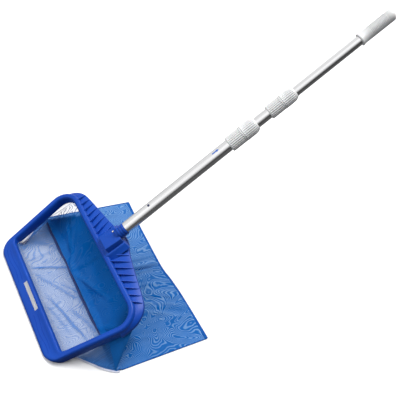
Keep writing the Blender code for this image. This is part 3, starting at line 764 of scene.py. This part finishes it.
def drill_button_holes(outer):
    """Cuts the cross hole that the two snap buttons come out of."""
    drill = bpy.data.objects.new("drill", bpy.data.meshes.new("drill"))
    bar = capped([(0, -0.03), (HOLE_R, -0.03), (HOLE_R, 0.03), (0, 0.03)], 48)
    bar.transform(Matrix.Translation((0, 0, HOLE_STATION)) @ Matrix.Rotation(math.pi / 2, 4, "X"))
    bmesh.ops.recalc_face_normals(bar, faces=bar.faces)
    bar.to_mesh(drill.data)
    bar.free()
    bpy.context.collection.objects.link(drill)
    drill.matrix_world = POLE
    hole = outer.modifiers.new("button_holes", "BOOLEAN")
    hole.operation = "DIFFERENCE"
    hole.object = drill
    settle(outer)
    outer.data.shade_smooth()
    outer.data.set_sharp_from_angle(angle=math.radians(40))
    bpy.data.objects.remove(drill)


def build_lock(prefix, tube_r, next_r, start, split, end, body_r, nut_r, flutes, barrel_body, cap_body):
    """The fluted barrel and cap of a twist lock, with soft edges and a rounded cap."""
    bore, neck, mouth = tube_r + 0.0003, tube_r + 0.0026, next_r + 0.0006
    cavity = neck + 0.0005
    height, cap_height = split - start, end - split
    barrel = [
        (bore, 0), (body_r - 0.0022, 0), (body_r - 0.0012, 0.0006), (body_r - 0.0006, 0.0018),
        (body_r - 0.0004, 0.0036), (body_r - 0.0002, 0.0044, 1), (body_r, 0.006, 1),
        (body_r, height - 0.006, 1), (body_r, height - 0.004, 1), (body_r + 0.0002, height - 0.003),
        (body_r + 0.0002, height - 0.0014), (body_r - 0.0004, height - 0.0003), (neck, height - 0.0003),
        (neck, height + 0.017), (bore, height + 0.017),
    ]
    shoulder = ((0.0003, 0.014, 1), (0.0008, 0.01, 1), (0.0018, 0.0066, 1), (0.003, 0.0044), (0.0042, 0.0024),
                (0.0054, 0.001), (0.0066, 0.0002))
    cap = [(cavity, 0), (nut_r - 0.001, 0), (nut_r - 0.0003, 0.0006), (nut_r, 0.0014), (nut_r, 0.0024)]
    cap += [(nut_r, 0.0034, 1), (nut_r, 0.02, 1)]
    cap += [(nut_r - inset, cap_height - drop, *fluted) for inset, drop, *fluted in shoulder]
    cap += [(mouth + 0.0004, cap_height), (mouth, cap_height - 0.0006), (mouth, cap_height - 0.006)]
    cap += [(cavity, 0.0195)]
    for name, profile, station, body, node in (
        ("barrel", barrel, start, barrel_body, "body"), ("cap", cap, split, cap_body, "nut"),
    ):
        made = turned(profile, flutes * 8, flutes, FLUTE_DEPTH)
        where = at_station(station)
        piece(f"{prefix}_lock_{name}", made, OFF_WHITE, where, 50, (f"{prefix}_lock_{node}",), body=body)


def build_grip():
    """The hand grip: a lip, a row of fine rings and a domed end, over the inner tube's end."""
    bore_top = TUBES["inner"][2] - GRIP_START + 0.001
    profile = [(0, bore_top), (GRIP_BORE_R, bore_top), (GRIP_BORE_R, 0), (GRIP_LIP_R - 0.0004, 0)]
    profile += [(GRIP_LIP_R, 0.0006), (GRIP_LIP_R, 0.0036), (GRIP_LIP_R - 0.0004, 0.0042)]
    profile += [(GRIP_R - 0.0004, 0.0055), (GRIP_R - 0.0004, 0.028)]
    for k in range(GRIP_RINGS):
        z = 0.03 + GRIP_RING_PITCH * k
        profile += [(GRIP_R, z), (GRIP_R, z + 0.0014)]
        profile += [(GRIP_R - 0.0009, z + 0.002), (GRIP_R - 0.0009, z + 0.0031)]
    profile += [(GRIP_R, 0.086)]
    for k in range(1, 12):
        turn = math.pi / 2 * k / 12
        profile.append((GRIP_R * math.cos(turn), GRIP_LENGTH - GRIP_DOME + GRIP_DOME * math.sin(turn)))
    profile.append((0, GRIP_LENGTH))
    piece("grip_sleeve", capped(profile), OFF_WHITE, at_station(GRIP_START), 50, ("hand_grip",), body="inner")


def build_arrow():
    """The small printed arrow on the outer tube's upper side, pointing along the pole."""
    half = [(0.004, 0.318), (0.0016, 0.318), (0.0016, 0.304)]
    outline = [(0, 0.326)] + half + [(-x, z) for x, z in half[::-1]]
    skin = OUTER_TUBE_R + 0.00015
    rings = []
    for radius in (skin, skin + 0.00012):
        rings.append([(radius * math.sin(x / skin), -radius * math.cos(x / skin), z) for x, z in outline])
    piece("arrow_mark", loft(rings, around=False, ends=True), ARROW, POLE, 30)


def build_pole():
    drill_button_holes(build_tube("outer"))
    build_tube("middle")
    build_tube("inner")
    for prefix, sizes in LOCKS.items():
        build_lock(prefix, *sizes)
    build_grip()
    for node in ("snap_button_top", "snap_button_bottom"):
        finer_copy(node, node + "_cap", NAVY, POLE, bevel=0.0003)
    for node in ("lower_lock_collet", "upper_lock_collet"):
        finer_copy(node, node + "_sleeve", NAVY, POLE)
    for node in ("middle_tube_guide", "inner_tube_guide"):
        finer_copy(node, node + "_bush", OFF_WHITE, POLE)
    finer_copy("clip_spring", "clip_spring_strip", STEEL, POLE)
    build_arrow()


# ---------------------------------------------------------------- bag

FRONT_STEPS, BAG_SIDE_STEPS = 200, 34
HEM_LINE = [
    (-0.277, 0.455), (-0.22, 0.45), (-0.17, 0.445), (-0.06, 0.4405), (-0.01, 0.4385),
    (0.025, 0.4395), (0.06, 0.446), (0.1, 0.449), (0.15, 0.4512), (0.277, 0.4525),
]


def hem_back(x):
    """How far back the bag's closed end reaches at a distance x from the middle."""
    return sum(along(HEM_LINE, x + dx) for dx in (-0.014, -0.007, 0, 0.007, 0.014)) / 5


def inner_half(y, distance):
    """Half the mouth's width inside the rim at a distance y up the head, plus a distance outwards."""
    slope = (BACK_HALF_WIDTH - FRONT_HALF_WIDTH) / CREST_BACK
    return FRONT_HALF_WIDTH - RIM_HALF_BREADTH + slope * y + distance


def mouth_row(distance, side_z, front_z, steps):
    """One key row of the bag under the rim: front and back points, half widths and corner radii."""
    front_y = BLADE_DEPTH - distance
    back_y = CREST_BACK - RIM_HALF_BREADTH + distance
    radii = (INNER_FRONT_CORNER_R + distance, BACK_CORNER_R - RIM_HALF_BREADTH + distance)
    return (head_to_ground(front_y, front_z), head_to_ground(back_y, side_z),
            inner_half(front_y, distance), inner_half(back_y, distance), *radii, steps)


def ground_row(front, back, front_half, back_half, front_r, back_r, steps):
    """One key row of the bag from points (y, z) given on the ground frame."""
    return (Vector(front), Vector(back), front_half, back_half, front_r, back_r, steps)


def tail_row(y, top, corner_r, steps):
    """One key row of the flat tail."""
    return ground_row((y, BAG_LOW), (y, top), BAG_HALF_WIDTH, BAG_HALF_WIDTH, corner_r, corner_r, steps)


BAG_ROWS = [
    mouth_row(WALL + 0.004, -0.0165, -0.016, 2),
    mouth_row(WALL + 0.004, -SKIRT_DEPTH - 0.003, -BLADE_SKIRT_DEPTH - 0.003, 2),
    mouth_row(-0.001, -SKIRT_DEPTH - 0.004, -BLADE_SKIRT_DEPTH - 0.004, 16),
    ground_row((0.06, 0.0048), (0.1975, 0.074), 0.1925, 0.243, 0.012, 0.022, 12),
    ground_row((0.071, BAG_LOW), (0.178, 0.022), 0.1985, 0.261, 0.008, 0.012, 10),
    ground_row((0.09, BAG_LOW), (BAG_FRONT, 0.007), 0.2155, 0.275, 0.002, 0.002, 30),
    ground_row((0.158, BAG_LOW), (BAG_FRONT + 0.012, 0.0088), 0.2767, BAG_HALF_WIDTH, 0.001, 0.001, 56),
    tail_row(0.3, 0.0085, 0.001, 56),
    tail_row(0.44, 0.0062, 0.001, 4),
    tail_row(0.455, 0.0016, 0.0005, 0),
]
FOLD_ROW = 5
FLOOR_ROW = 4


def ring_outline(front_half, back_half, length, front_r, back_r):
    """A ring laid flat: x across, y from the front edge to the back one, as four sides of even points."""
    front_r, back_r = min(front_r, length * 0.45), min(back_r, length * 0.45)
    corners = [(-front_half, 0), (front_half, 0), (back_half, length), (-back_half, length)]
    arcs = corner_arcs(corners, (front_r, front_r, back_r, back_r), 8)
    sides = []
    for k in range(4):
        count = BAG_SIDE_STEPS if k % 2 else FRONT_STEPS
        sides.append(resampled(arcs[k][4:] + arcs[(k + 1) % 4][:5], count)[:-1])
    return sides


def fold(x, y, ax, ay, bx, by, width, fade=0.25):
    """How close (x, y) is to the line from a to b: 1 on it, 0 a width away, softer towards its ends."""
    a, b, p = Vector((ax, ay)), Vector((bx, by)), Vector((x, y))
    share = (p - a).dot(b - a) / (b - a).length_squared
    if not -0.2 < share < 1.2:
        return 0.0
    aside = (p - a.lerp(b, share)).length
    ends = smooth(-0.2, fade, share) * smooth(1.2, 1 - fade, share)
    return math.exp(-(aside / width) ** 2) * ends


def wave(x, y, z, scale, seed):
    return noise.noise(Vector((x, y, z)) * scale + Vector((seed, seed * 0.37 + SEED, seed * 0.61)))


LOWER_FOLDS = [  # from (x, y) to (x, y), width, height
    (-0.106, 0.059, -0.076, 0.163, 0.0045, 0.0036), (-0.073, 0.071, 0.039, 0.149, 0.005, 0.003),
    (0.008, 0.078, 0.164, 0.122, 0.005, 0.0036), (0.06, 0.12, 0.15, 0.165, 0.006, 0.0022),
    (-0.19, 0.13, -0.11, 0.125, 0.006, 0.0018),
]
TAIL_FOLDS = [
    (0.004, 0.3, 0.01, 0.436, 0.0065, 0.0042), (-0.0045, 0.31, -0.0015, 0.436, 0.0035, -0.0056),
    (-0.015, 0.31, -0.012, 0.436, 0.006, 0.0032), (0.04, 0.25, 0.062, 0.436, 0.0065, 0.0022),
    (0.066, 0.3, 0.103, 0.44, 0.0065, 0.003), (0.085, 0.29, 0.128, 0.44, 0.0065, 0.0024),
    (0.096, 0.28, 0.157, 0.442, 0.0065, 0.003), (0.13, 0.29, 0.19, 0.42, 0.0065, 0.0026),
    (-0.045, 0.26, -0.04, 0.43, 0.0065, 0.002), (-0.11, 0.24, -0.09, 0.43, 0.0065, 0.0018),
    (0.19, 0.2, 0.235, 0.33, 0.0065, 0.0024),
]
HANGING_FOLDS = [  # from (x, z) to (x, z), width, height
    (-0.185, 0.06, -0.045, 0.008, 0.006, 0.0055), (-0.045, 0.008, 0.1, 0.075, 0.006, 0.005),
    (0.15, 0.01, 0.215, 0.09, 0.008, 0.004),
]


def raised(folds, a, b):
    """The height of a group of folds at (a, b)."""
    return sum(height * fold(a, b, *line, width) for *line, width, height in folds)


def lower_lift(x, y):
    """Soft folds of the sheet on the ground inside the mouth."""
    return 0.002 * max(0, wave(x, y * 0.5, 0, 26, 3) + 0.15) + raised(LOWER_FOLDS, x, y)


def tail_lift(x, y):
    """Folds of the bag's upper sheet behind the head, above its even height."""
    uneven = 0.0028 * wave(x, y * 0.35, 0, 24, 11) + 0.0022 * wave(x, y * 0.5, 0, 60, 5)
    return uneven + raised(TAIL_FOLDS, x, y)


def hang_push(x, z):
    """How far the hanging sheet behind the mouth swings forwards, by place across and height."""
    uneven = 0.005 * wave(x, z * 0.5, 0, 13, 21) + 0.0028 * wave(x, z * 0.4, 0, 34, 4)
    return uneven + raised(HANGING_FOLDS, x, z)


def build_bag():
    rings, values = [], []
    travelled_back = travelled_front = 0.0
    last = None
    for k, row in enumerate(BAG_ROWS):
        following = BAG_ROWS[min(k + 1, len(BAG_ROWS) - 1)]
        steps = max(row[6], 1)
        for step in range(steps):
            t = step / steps
            front, back = row[0].lerp(following[0], t), row[1].lerp(following[1], t)
            front_half, back_half, front_r, back_r = (mix(row[i], following[i], t) for i in (2, 3, 4, 5))
            if last:
                travelled_front += (front - last[0]).length
                travelled_back += (back - last[1]).length
            last = (front, back)
            length = (back - front).length
            slope = (back - front) / length
            place = k + t
            ring = []
            for side, points in enumerate(ring_outline(front_half, back_half, length, front_r, back_r)):
                for flat in points:
                    share = flat.y / length
                    at = front + slope * flat.y
                    vert = Vector((flat.x, at.x, at.y))
                    ring.append(shaped(vert, side, share, place))
                    values.append(looks(ring[-1], side, share, place, travelled_front, travelled_back))
            rings.append(ring)
    made = loft(rings, around=False)
    bag = piece("bag", made, MESH, GROUND, 70, ("bag_mesh",))
    mark(bag, values)
    return bag


def shaped(vert, side, share, place):
    """A point of the bag moved by its folds. side is 0 front, 1 right, 2 back, 3 left."""
    x, y, z = vert
    tail = smooth(FOLD_ROW + 0.3, FOLD_ROW + 1, place)
    if place > FOLD_ROW + 1:
        reach = smooth(0.3, 0.44, y)
        y += reach * (hem_back(x) - 0.455)
        pinch = 1 - 0.88 * (abs(x) / BAG_HALF_WIDTH) ** 10
        z = BAG_LOW + (z - BAG_LOW) * pinch
        if side == 2:
            room = smooth(0.277, 0.255, abs(x)) * smooth(0.455, 0.435, vert.y)
            z = max(z + tail_lift(x, y) * room * tail, BAG_LOW + 0.0012)
        return Vector((x, y, z))
    if side == 0 or share < 0.02:
        on_floor = smooth(FLOOR_ROW - 0.3, FLOOR_ROW + 0.5, place) * smooth(0.26, 0.2, abs(x))
        z += lower_lift(x, y) * on_floor
        return Vector((x, y, max(z, BAG_LOW)))
    loose = smooth(2.1, 2.8, place) * (1 - smooth(FOLD_ROW - 0.5, FOLD_ROW + 0.1, place))
    if side == 2 or share > 0.98:
        y -= hang_push(x, z) * loose
        y += 0.0012 * wave(x, 0, 0, 40, 9) * (1 - tail)
        return Vector((x, y, z))
    puff = math.sin(math.pi * share) * loose
    outward = 1 if x > 0 else -1
    x += outward * puff * (0.004 * wave(x, y, z, 30, 14) + 0.003 * wave(x, y, z, 75, 17) - 0.003)
    return Vector((x, y, max(z + 0.003 * puff * wave(x, y, z, 60, 19), BAG_LOW)))


# Painted shade: darker, denser lines along the folds of the sheet on the ground.
LOWER_CREASE_SHADE = [  # from (x, y) to (x, y), width, strength
    (-0.106, 0.059, -0.076, 0.163, 0.003, 0.9), (-0.073, 0.071, 0.039, 0.149, 0.005, 0.45),
    (0.008, 0.078, 0.164, 0.122, 0.0042, 0.75), (0.03, 0.062, 0.13, 0.092, 0.005, 0.35),
    (0.06, 0.12, 0.15, 0.158, 0.006, 0.4), (-0.2, 0.1, -0.15, 0.16, 0.008, 0.3),
    (-0.03, 0.12, 0.02, 0.163, 0.005, 0.3), (-0.13, 0.07, -0.15, 0.16, 0.006, 0.22),
]
# Painted highlights: paler streaks along the ridges of the tail's folds.
TAIL_RIDGE_HIGHLIGHTS = [  # from (x, y) to (x, y), width, strength
    (0.066, 0.3, 0.103, 0.44, 0.006, 0.8), (0.096, 0.28, 0.157, 0.442, 0.0055, 0.9),
    (0.13, 0.29, 0.19, 0.42, 0.005, 0.8), (0.035, 0.25, 0.06, 0.436, 0.005, 0.6),
    (0.012, 0.29, 0.017, 0.436, 0.005, 0.8), (-0.022, 0.3, -0.018, 0.436, 0.0045, 0.7),
    (-0.06, 0.3, -0.055, 0.436, 0.005, 0.5), (-0.15, 0.26, -0.12, 0.43, 0.007, 0.5),
]
# Painted shade: dark lines in the tail's creases.
TAIL_CREASE_SHADE = [
    (-0.0045, 0.29, -0.0015, 0.438, 0.0026, 1.0), (0.052, 0.33, 0.08, 0.44, 0.0034, 0.5),
    (0.083, 0.3, 0.128, 0.44, 0.0034, 0.6), (0.118, 0.29, 0.172, 0.43, 0.0034, 0.5),
    (-0.04, 0.31, -0.036, 0.436, 0.003, 0.5),
]
# Painted shade: darker lines in the rising sheet's creases.
RISING_CREASE_SHADE = [  # from (x, z) to (x, z), width, strength
    (-0.212, 0.098, -0.085, 0.014, 0.0036, 1.0), (-0.052, 0.014, -0.01, 0.115, 0.005, 0.6),
    (-0.15, 0.1, -0.085, 0.014, 0.004, 0.35), (0.03, 0.02, 0.1, 0.095, 0.006, 0.35),
    (0.15, 0.01, 0.215, 0.09, 0.005, 0.6),
]


def strongest(creases, a, b):
    """The strongest of the lines at (a, b). They wander a little instead of running straight."""
    a += 0.0045 * wave(a, b, 0.5, 22, 41)
    b += 0.0045 * wave(a, b, 0.9, 22, 43)
    return max(strength * fold(a, b, *line, width) for *line, width, strength in creases)


def looks(vert, side, share, place, front_way, back_way):
    """Cloth coordinates, and how solid, deep, watered and creased the mesh looks at a point of the bag."""
    x, y, z = vert
    cloth = (x, mix(front_way, back_way, share), 0.35 * side)
    if side == 0:
        tail = smooth(0.155, 0.175, y)
        crease = strongest(LOWER_CREASE_SHADE, x, y) * (1 - tail)
        # Painted shade: denser and darker towards the left side panel's foot and along the fold; also denser
        # near the front edge.
        foot = 0.18 * smooth(-0.16, -0.2, x) + 0.14 * smooth(0.14, 0.163, y) + 0.08 * smooth(0.06, 0.05, y)
        solid = mix(0.46 + 0.34 * crease + foot, 0.75, tail)
        return cloth, solid, mix(0.1 + 0.6 * crease, 0.6, tail), 0.0, mix(0.42, 0.2, tail)
    if side == 2:
        return ((x, back_way, 0.8), *rear_looks(x, y, z, place))
    if side == 3:
        return cloth, mix(0.2, 0.34, share), 0.25, 0.0, 1.3
    return cloth, mix(0.68, 0.8, share), mix(0.45, 0.75, share), 0.2, 0.7


def rear_looks(x, y, z, place):
    """The looks of the rising sheet, crumpled in its far-left corner, and of the tail's upper sheet, with
    painted shade towards the ridge, towards the right end, in creases and beside the corner triangles, and
    painted highlights on the tail's fold ridges.
    """
    tail = smooth(FOLD_ROW - 0.05, FOLD_ROW + 0.15, place)
    crease = strongest(RISING_CREASE_SHADE, x, z) * (1 - tail)
    above_corner_line = z - 0.023 - 1.11 * (x + 0.255) + 0.007 * wave(x, z, 0, 45, 33)
    crumpled = smooth(-0.01, 0.01, above_corner_line) * (1 - tail)
    # Painted shade: more dense lines towards the ridge, which shades the sheet under it.
    ridge_shade = smooth(0.02, 0.13, z) * (1 - tail)
    # Painted shade: darker towards the ridge and towards the right end.
    painted_shade = 0.42 * smooth(0.045, 0.14, z + 0.05 * wave(x, z, 0, 9, 31)) + 0.3 * smooth(0.15, 0.235, x)
    # Paler along the tail's fold ridges (painted highlights), darker in its creases (painted shade).
    behind = mix(mix(0.45, 0.78, smooth(-0.2, 0.15, x)), 0.1, strongest(TAIL_RIDGE_HIGHLIGHTS, x, y))
    behind += 1.1 * strongest(TAIL_CREASE_SHADE, x, y)
    deepness = mix(0.9 + 0.45 * crease + painted_shade, behind, tail)
    # Painted shade on the tail beside each folded corner triangle, under the flange.
    deepness += 0.9 * math.exp(-((abs(x) - 0.205) / 0.034) ** 2 - ((y - 0.215) / 0.034) ** 2)
    solid = mix(mix(1.04, 0.94, tail), 0.3, crumpled)
    figure = mix(0.1, 1.0, tail) * (1 - crumpled)
    dense = mix(mix(0.25 * ridge_shade + crease, 0.0, tail), 1.4, crumpled)
    return solid, mix(deepness, 0.25, crumpled), figure, dense


def mark(thing, values):
    """Stores the looks of each point on the mesh, for its material to read."""
    mesh = thing.data
    cloth = mesh.attributes.new("cloth", "FLOAT_VECTOR", "POINT")
    cloth.data.foreach_set("vector", [c for value in values for c in value[0]])
    for k, name in enumerate(LOOKS, 1):
        attribute = mesh.attributes.new(name, "FLOAT", "POINT")
        attribute.data.foreach_set("value", [value[k] for value in values])


def strip(name, points, half, height, paint, stands_for=()):
    """A soft flat band along points on the ground frame, rounded across."""
    rings = []
    for k, point in enumerate(points):
        ahead = points[min(k + 1, len(points) - 1)] - points[max(k - 1, 0)]
        ahead.z = 0
        aside = Vector((ahead.y, -ahead.x, 0)).normalized()
        ring = []
        for i in range(10):
            turn = 2 * math.pi * i / 10
            across, up = math.cos(turn), math.sin(turn)
            across = math.copysign(abs(across) ** 0.6, across)
            ring.append(point + aside * half * across + Vector((0, 0, height / 2 * (1 + up))))
        rings.append(ring)
    made = loft(rings, around=False, ends=True)
    return piece(name, made, paint, GROUND, 60, stands_for)


def stitches(name, points, length, pitch, lift):
    """A row of short raised stitches along a line of points."""
    parts = []
    for start in range(0, len(points) - 1, pitch):
        stop = min(start + length, len(points) - 1)
        a, b = points[start], points[stop]
        ahead = (b - a).normalized()
        aside = Vector((ahead.y, -ahead.x, 0))
        rings = []
        for share in (0, 0.2, 0.5, 0.8, 1):
            swell = math.sin(math.pi * mix(0.12, 0.88, share))
            centre = a.lerp(b, share) + Vector((0, 0, lift * swell))
            ring = []
            for i in range(5):
                turn = 2 * math.pi * i / 5
                radius = 0.00038 * mix(0.5, 1, swell)
                up = Vector((0, 0, radius * math.sin(turn)))
                ring.append(centre + aside * radius * math.cos(turn) + up)
            rings.append(ring)
        parts.append(loft(rings, around=False, ends=True))
    return piece(name, joined(parts), THREAD, GROUND, 60)


EDGE_TAPE_PATH = [
    (0.194, 0.064), (0.2006, 0.0773), (0.2327, 0.106), (0.2622, 0.1358), (0.2767, 0.1579), (0.2786, 0.164),
    (0.2786, 0.17),
]


def even_line(start, end, count):
    return [mix(start, end, i / (count - 1)) for i in range(count)]


def hem_point(x, back, lift):
    """A point on the hem, back from its edge and above its underside."""
    return Vector((x, hem_back(x) - back, 0.0006 + 0.0006 * (1 + wave(x, 0, 0, 30, 2)) + lift))


def build_trim():
    """Hem with two rows of stitches, edge tapes, a dark strip of painted shadow along the fold and rolled
    side seams.
    """
    hem = [hem_point(x, 0.0052, 0) for x in even_line(-BAG_HALF_WIDTH, BAG_HALF_WIDTH, 261)]
    pieces = [strip("bag_hem_band", hem, 0.0052, 0.003, HEM, ("bag_hem",))]
    reach = BAG_HALF_WIDTH - 0.003
    for k, back in ((1, 0.0024), (2, 0.0082)):
        row = [hem_point(x, back, 0.0028) for x in even_line(-reach, reach, 1100)]
        pieces.append(stitches(f"hem_stitches_{k}", row, 6, 10, 0.0004))

    for name, side in (("left", -1), ("right", 1)):
        edge = [Vector((side * x, y, 0)) for x, y in EDGE_TAPE_PATH]
        edge = resampled(rounded_line(edge), 60)
        for point in edge:
            point.z = 0.0004 + 0.0006 * (1 + wave(point.x, point.y, 0, 60, 8))
            point.x += side * 0.001 * wave(point.x, point.y, 0, 45, 6)
        pieces.append(strip(f"bag_edge_tape_{name}", edge, 0.003, 0.0014, TAPE, (f"edge_tape_{name}",)))
        seam = []
        for y in even_line(BAG_FRONT + 0.014, 0.45, 90):
            seam.append(Vector((side * (BAG_HALF_WIDTH + 0.0004), y, 0.0005 + 0.0003 * wave(y, 0, 0, 40, 7))))
        pieces.append(strip(f"bag_side_seam_{name}", seam, 0.0013, 0.002, HEM))

    # The fold's shadow, painted as a dark strip laid along the fold.
    fold_line = []
    for x in even_line(-0.268, 0.268, 160):
        fold_line.append(Vector((x, BAG_FRONT - 0.002 + 0.0042 * wave(x, 0, 0, 16, 3), 0.0012)))
    pieces.append(strip("bag_fold_shadow_strip", fold_line, 0.0027, 0.0044, FOLD_SHADOW))
    return pieces


def build_gussets():
    """The folded triangle of spare cloth at each front corner, from the rim's skirt to the corner."""
    made = []
    top_y0, top_y1 = 0.16, 0.236
    a = Vector((inner_half(top_y0, 0.012), *head_to_ground(top_y0, -SKIRT_DEPTH - 0.002)))
    b = Vector((inner_half(top_y1, 0.004), *head_to_ground(top_y1, -SKIRT_DEPTH - 0.002)))
    tip = Vector((0.2755, 0.16, 0.003))
    for name, side in (("left", -1), ("right", 1)):
        rings, values = [], []
        for r in range(25):
            t = r / 24
            left, right = a.lerp(tip, t), b.lerp(tip, t * 0.985)
            ring = []
            for c in range(17):
                s = c / 16
                point = left.lerp(right, s)
                bow = math.sin(math.pi * t) * math.sin(math.pi * s)
                point.x += 0.004 * bow + 0.002 * wave(point.x, point.y, point.z, 40, 12) * bow
                ring.append(Vector((side * point.x, point.y, point.z)))
                values.append(((point.x * 3, point.y, 1.7), 1.0, 0.9, 0.0, 0.6))
            rings.append(ring)
        cloth = loft(rings, around=False, closed=False)
        sheet = piece(f"bag_gusset_{name}", cloth, MESH, GROUND, 70)
        mark(sheet, values)
        made.append(sheet)
    return made


# ---------------------------------------------------------------- build the object

build_head()
build_pole()
bag = build_bag()
trim = build_trim()
gussets = build_gussets()
for material_slot in frame["nodes"]["bag_spline"].material_slots:
    material_slot.material = ROYAL

# ---------------------------------------------------------------- floor, light and camera

FLOOR_CLEARANCE = 0.0006
FLOOR_REACH = 6.0
SHADE_SIDE = Vector((0.846, 0.38, -0.358))
CAMERA_PLACE = Vector((0.82335, -0.36158, 1.33368))
CAMERA_TURN = (46.1588, -16.8953, 59.7603)
CAMERA_LENS = 50.04


def ray(paint, kind):
    """1 for the rays of a kind, 0 for the others."""
    return paint.node("LightPath").outputs[f"Is {kind} Ray"]


floor = bpy.data.objects.new("floor", bpy.data.meshes.new("floor"))
corners = [(-1, -1), (1, -1), (1, 1), (-1, 1)]
floor.data.from_pydata([(x * FLOOR_REACH, y * FLOOR_REACH, 0) for x, y in corners], [], [(0, 1, 2, 3)])
floor.location = GROUND_POINT - Vector((0, 0, FLOOR_CLEARANCE))
floor_paint = Paint("floor_paint", Roughness=0.9, Specular_IOR_Level=0.0)
paper = floor_paint.ramp(floor_paint.noise(floor_paint.place(), 3.0, 2), [(0.3, 0.91), (0.7, 0.93)])
across = floor_paint.node("SeparateXYZ", {0: floor_paint.place()}).outputs["X"]
to_the_right = floor_paint.math("MULTIPLY_ADD", across, 0.5, 0.15)
seen_in_gloss = floor_paint.ramp(to_the_right, [(0.0, 0.34), (0.25, 0.07)])
bounce = floor_paint.blend(ray(floor_paint, "Glossy"), (0.22, 0.22, 0.22), seen_in_gloss)
floor_paint.set("Base Color", floor_paint.blend(ray(floor_paint, "Camera"), bounce, paper))
floor.data.materials.append(floor_paint.material)
bpy.context.collection.objects.link(floor)


def sun(name, toward, spread, strength):
    """A broad distant light. toward points from the object to the light."""
    lamp = bpy.data.lights.new(name, "SUN")
    lamp.angle = math.radians(spread)
    lamp.energy = strength
    made = bpy.data.objects.new(name, lamp)
    made.rotation_euler = Vector(toward).to_track_quat("Z", "Y").to_euler()
    bpy.context.collection.objects.link(made)
    return made


sun("overhead", (-0.16, 0.26, 1.0), 36, 3.1)
sun("front", (-0.15, -0.66, 0.75), 60, 1.9).visible_glossy = False

world = bpy.data.worlds.new("studio")
world.use_nodes = True
bpy.context.scene.world = world


sky = Sky(world)
toward = sky.node("TexCoord").outputs["Generated"]
bright_side = sky.node("VectorMath", {0: toward, 1: -SHADE_SIDE}, operation="DOT_PRODUCT").outputs["Value"]
boxes = [(0.18, 0.05), (0.5, 1.12), (0.75, 1.15), (1.0, 0.8)]
soft_boxes = sky.ramp(sky.math("MULTIPLY_ADD", bright_side, 0.5, 0.5), boxes)
level = sky.blend(ray(sky, "Glossy"), (0.11, 0.11, 0.115), soft_boxes)
sky.set("Color", sky.blend(ray(sky, "Camera"), level, (1.0, 1.0, 1.0)))
bpy.context.scene.view_settings.view_transform = "Standard"

camera = bpy.data.objects.new("camera", bpy.data.cameras.new("camera"))
camera.data.sensor_width = 36
camera.data.lens = CAMERA_LENS
camera.location = GROUND_POINT + CAMERA_PLACE
camera.rotation_euler = [math.radians(angle) for angle in CAMERA_TURN]
camera.data.clip_start = 0.02
bpy.context.collection.objects.link(camera)
bpy.context.scene.camera = camera
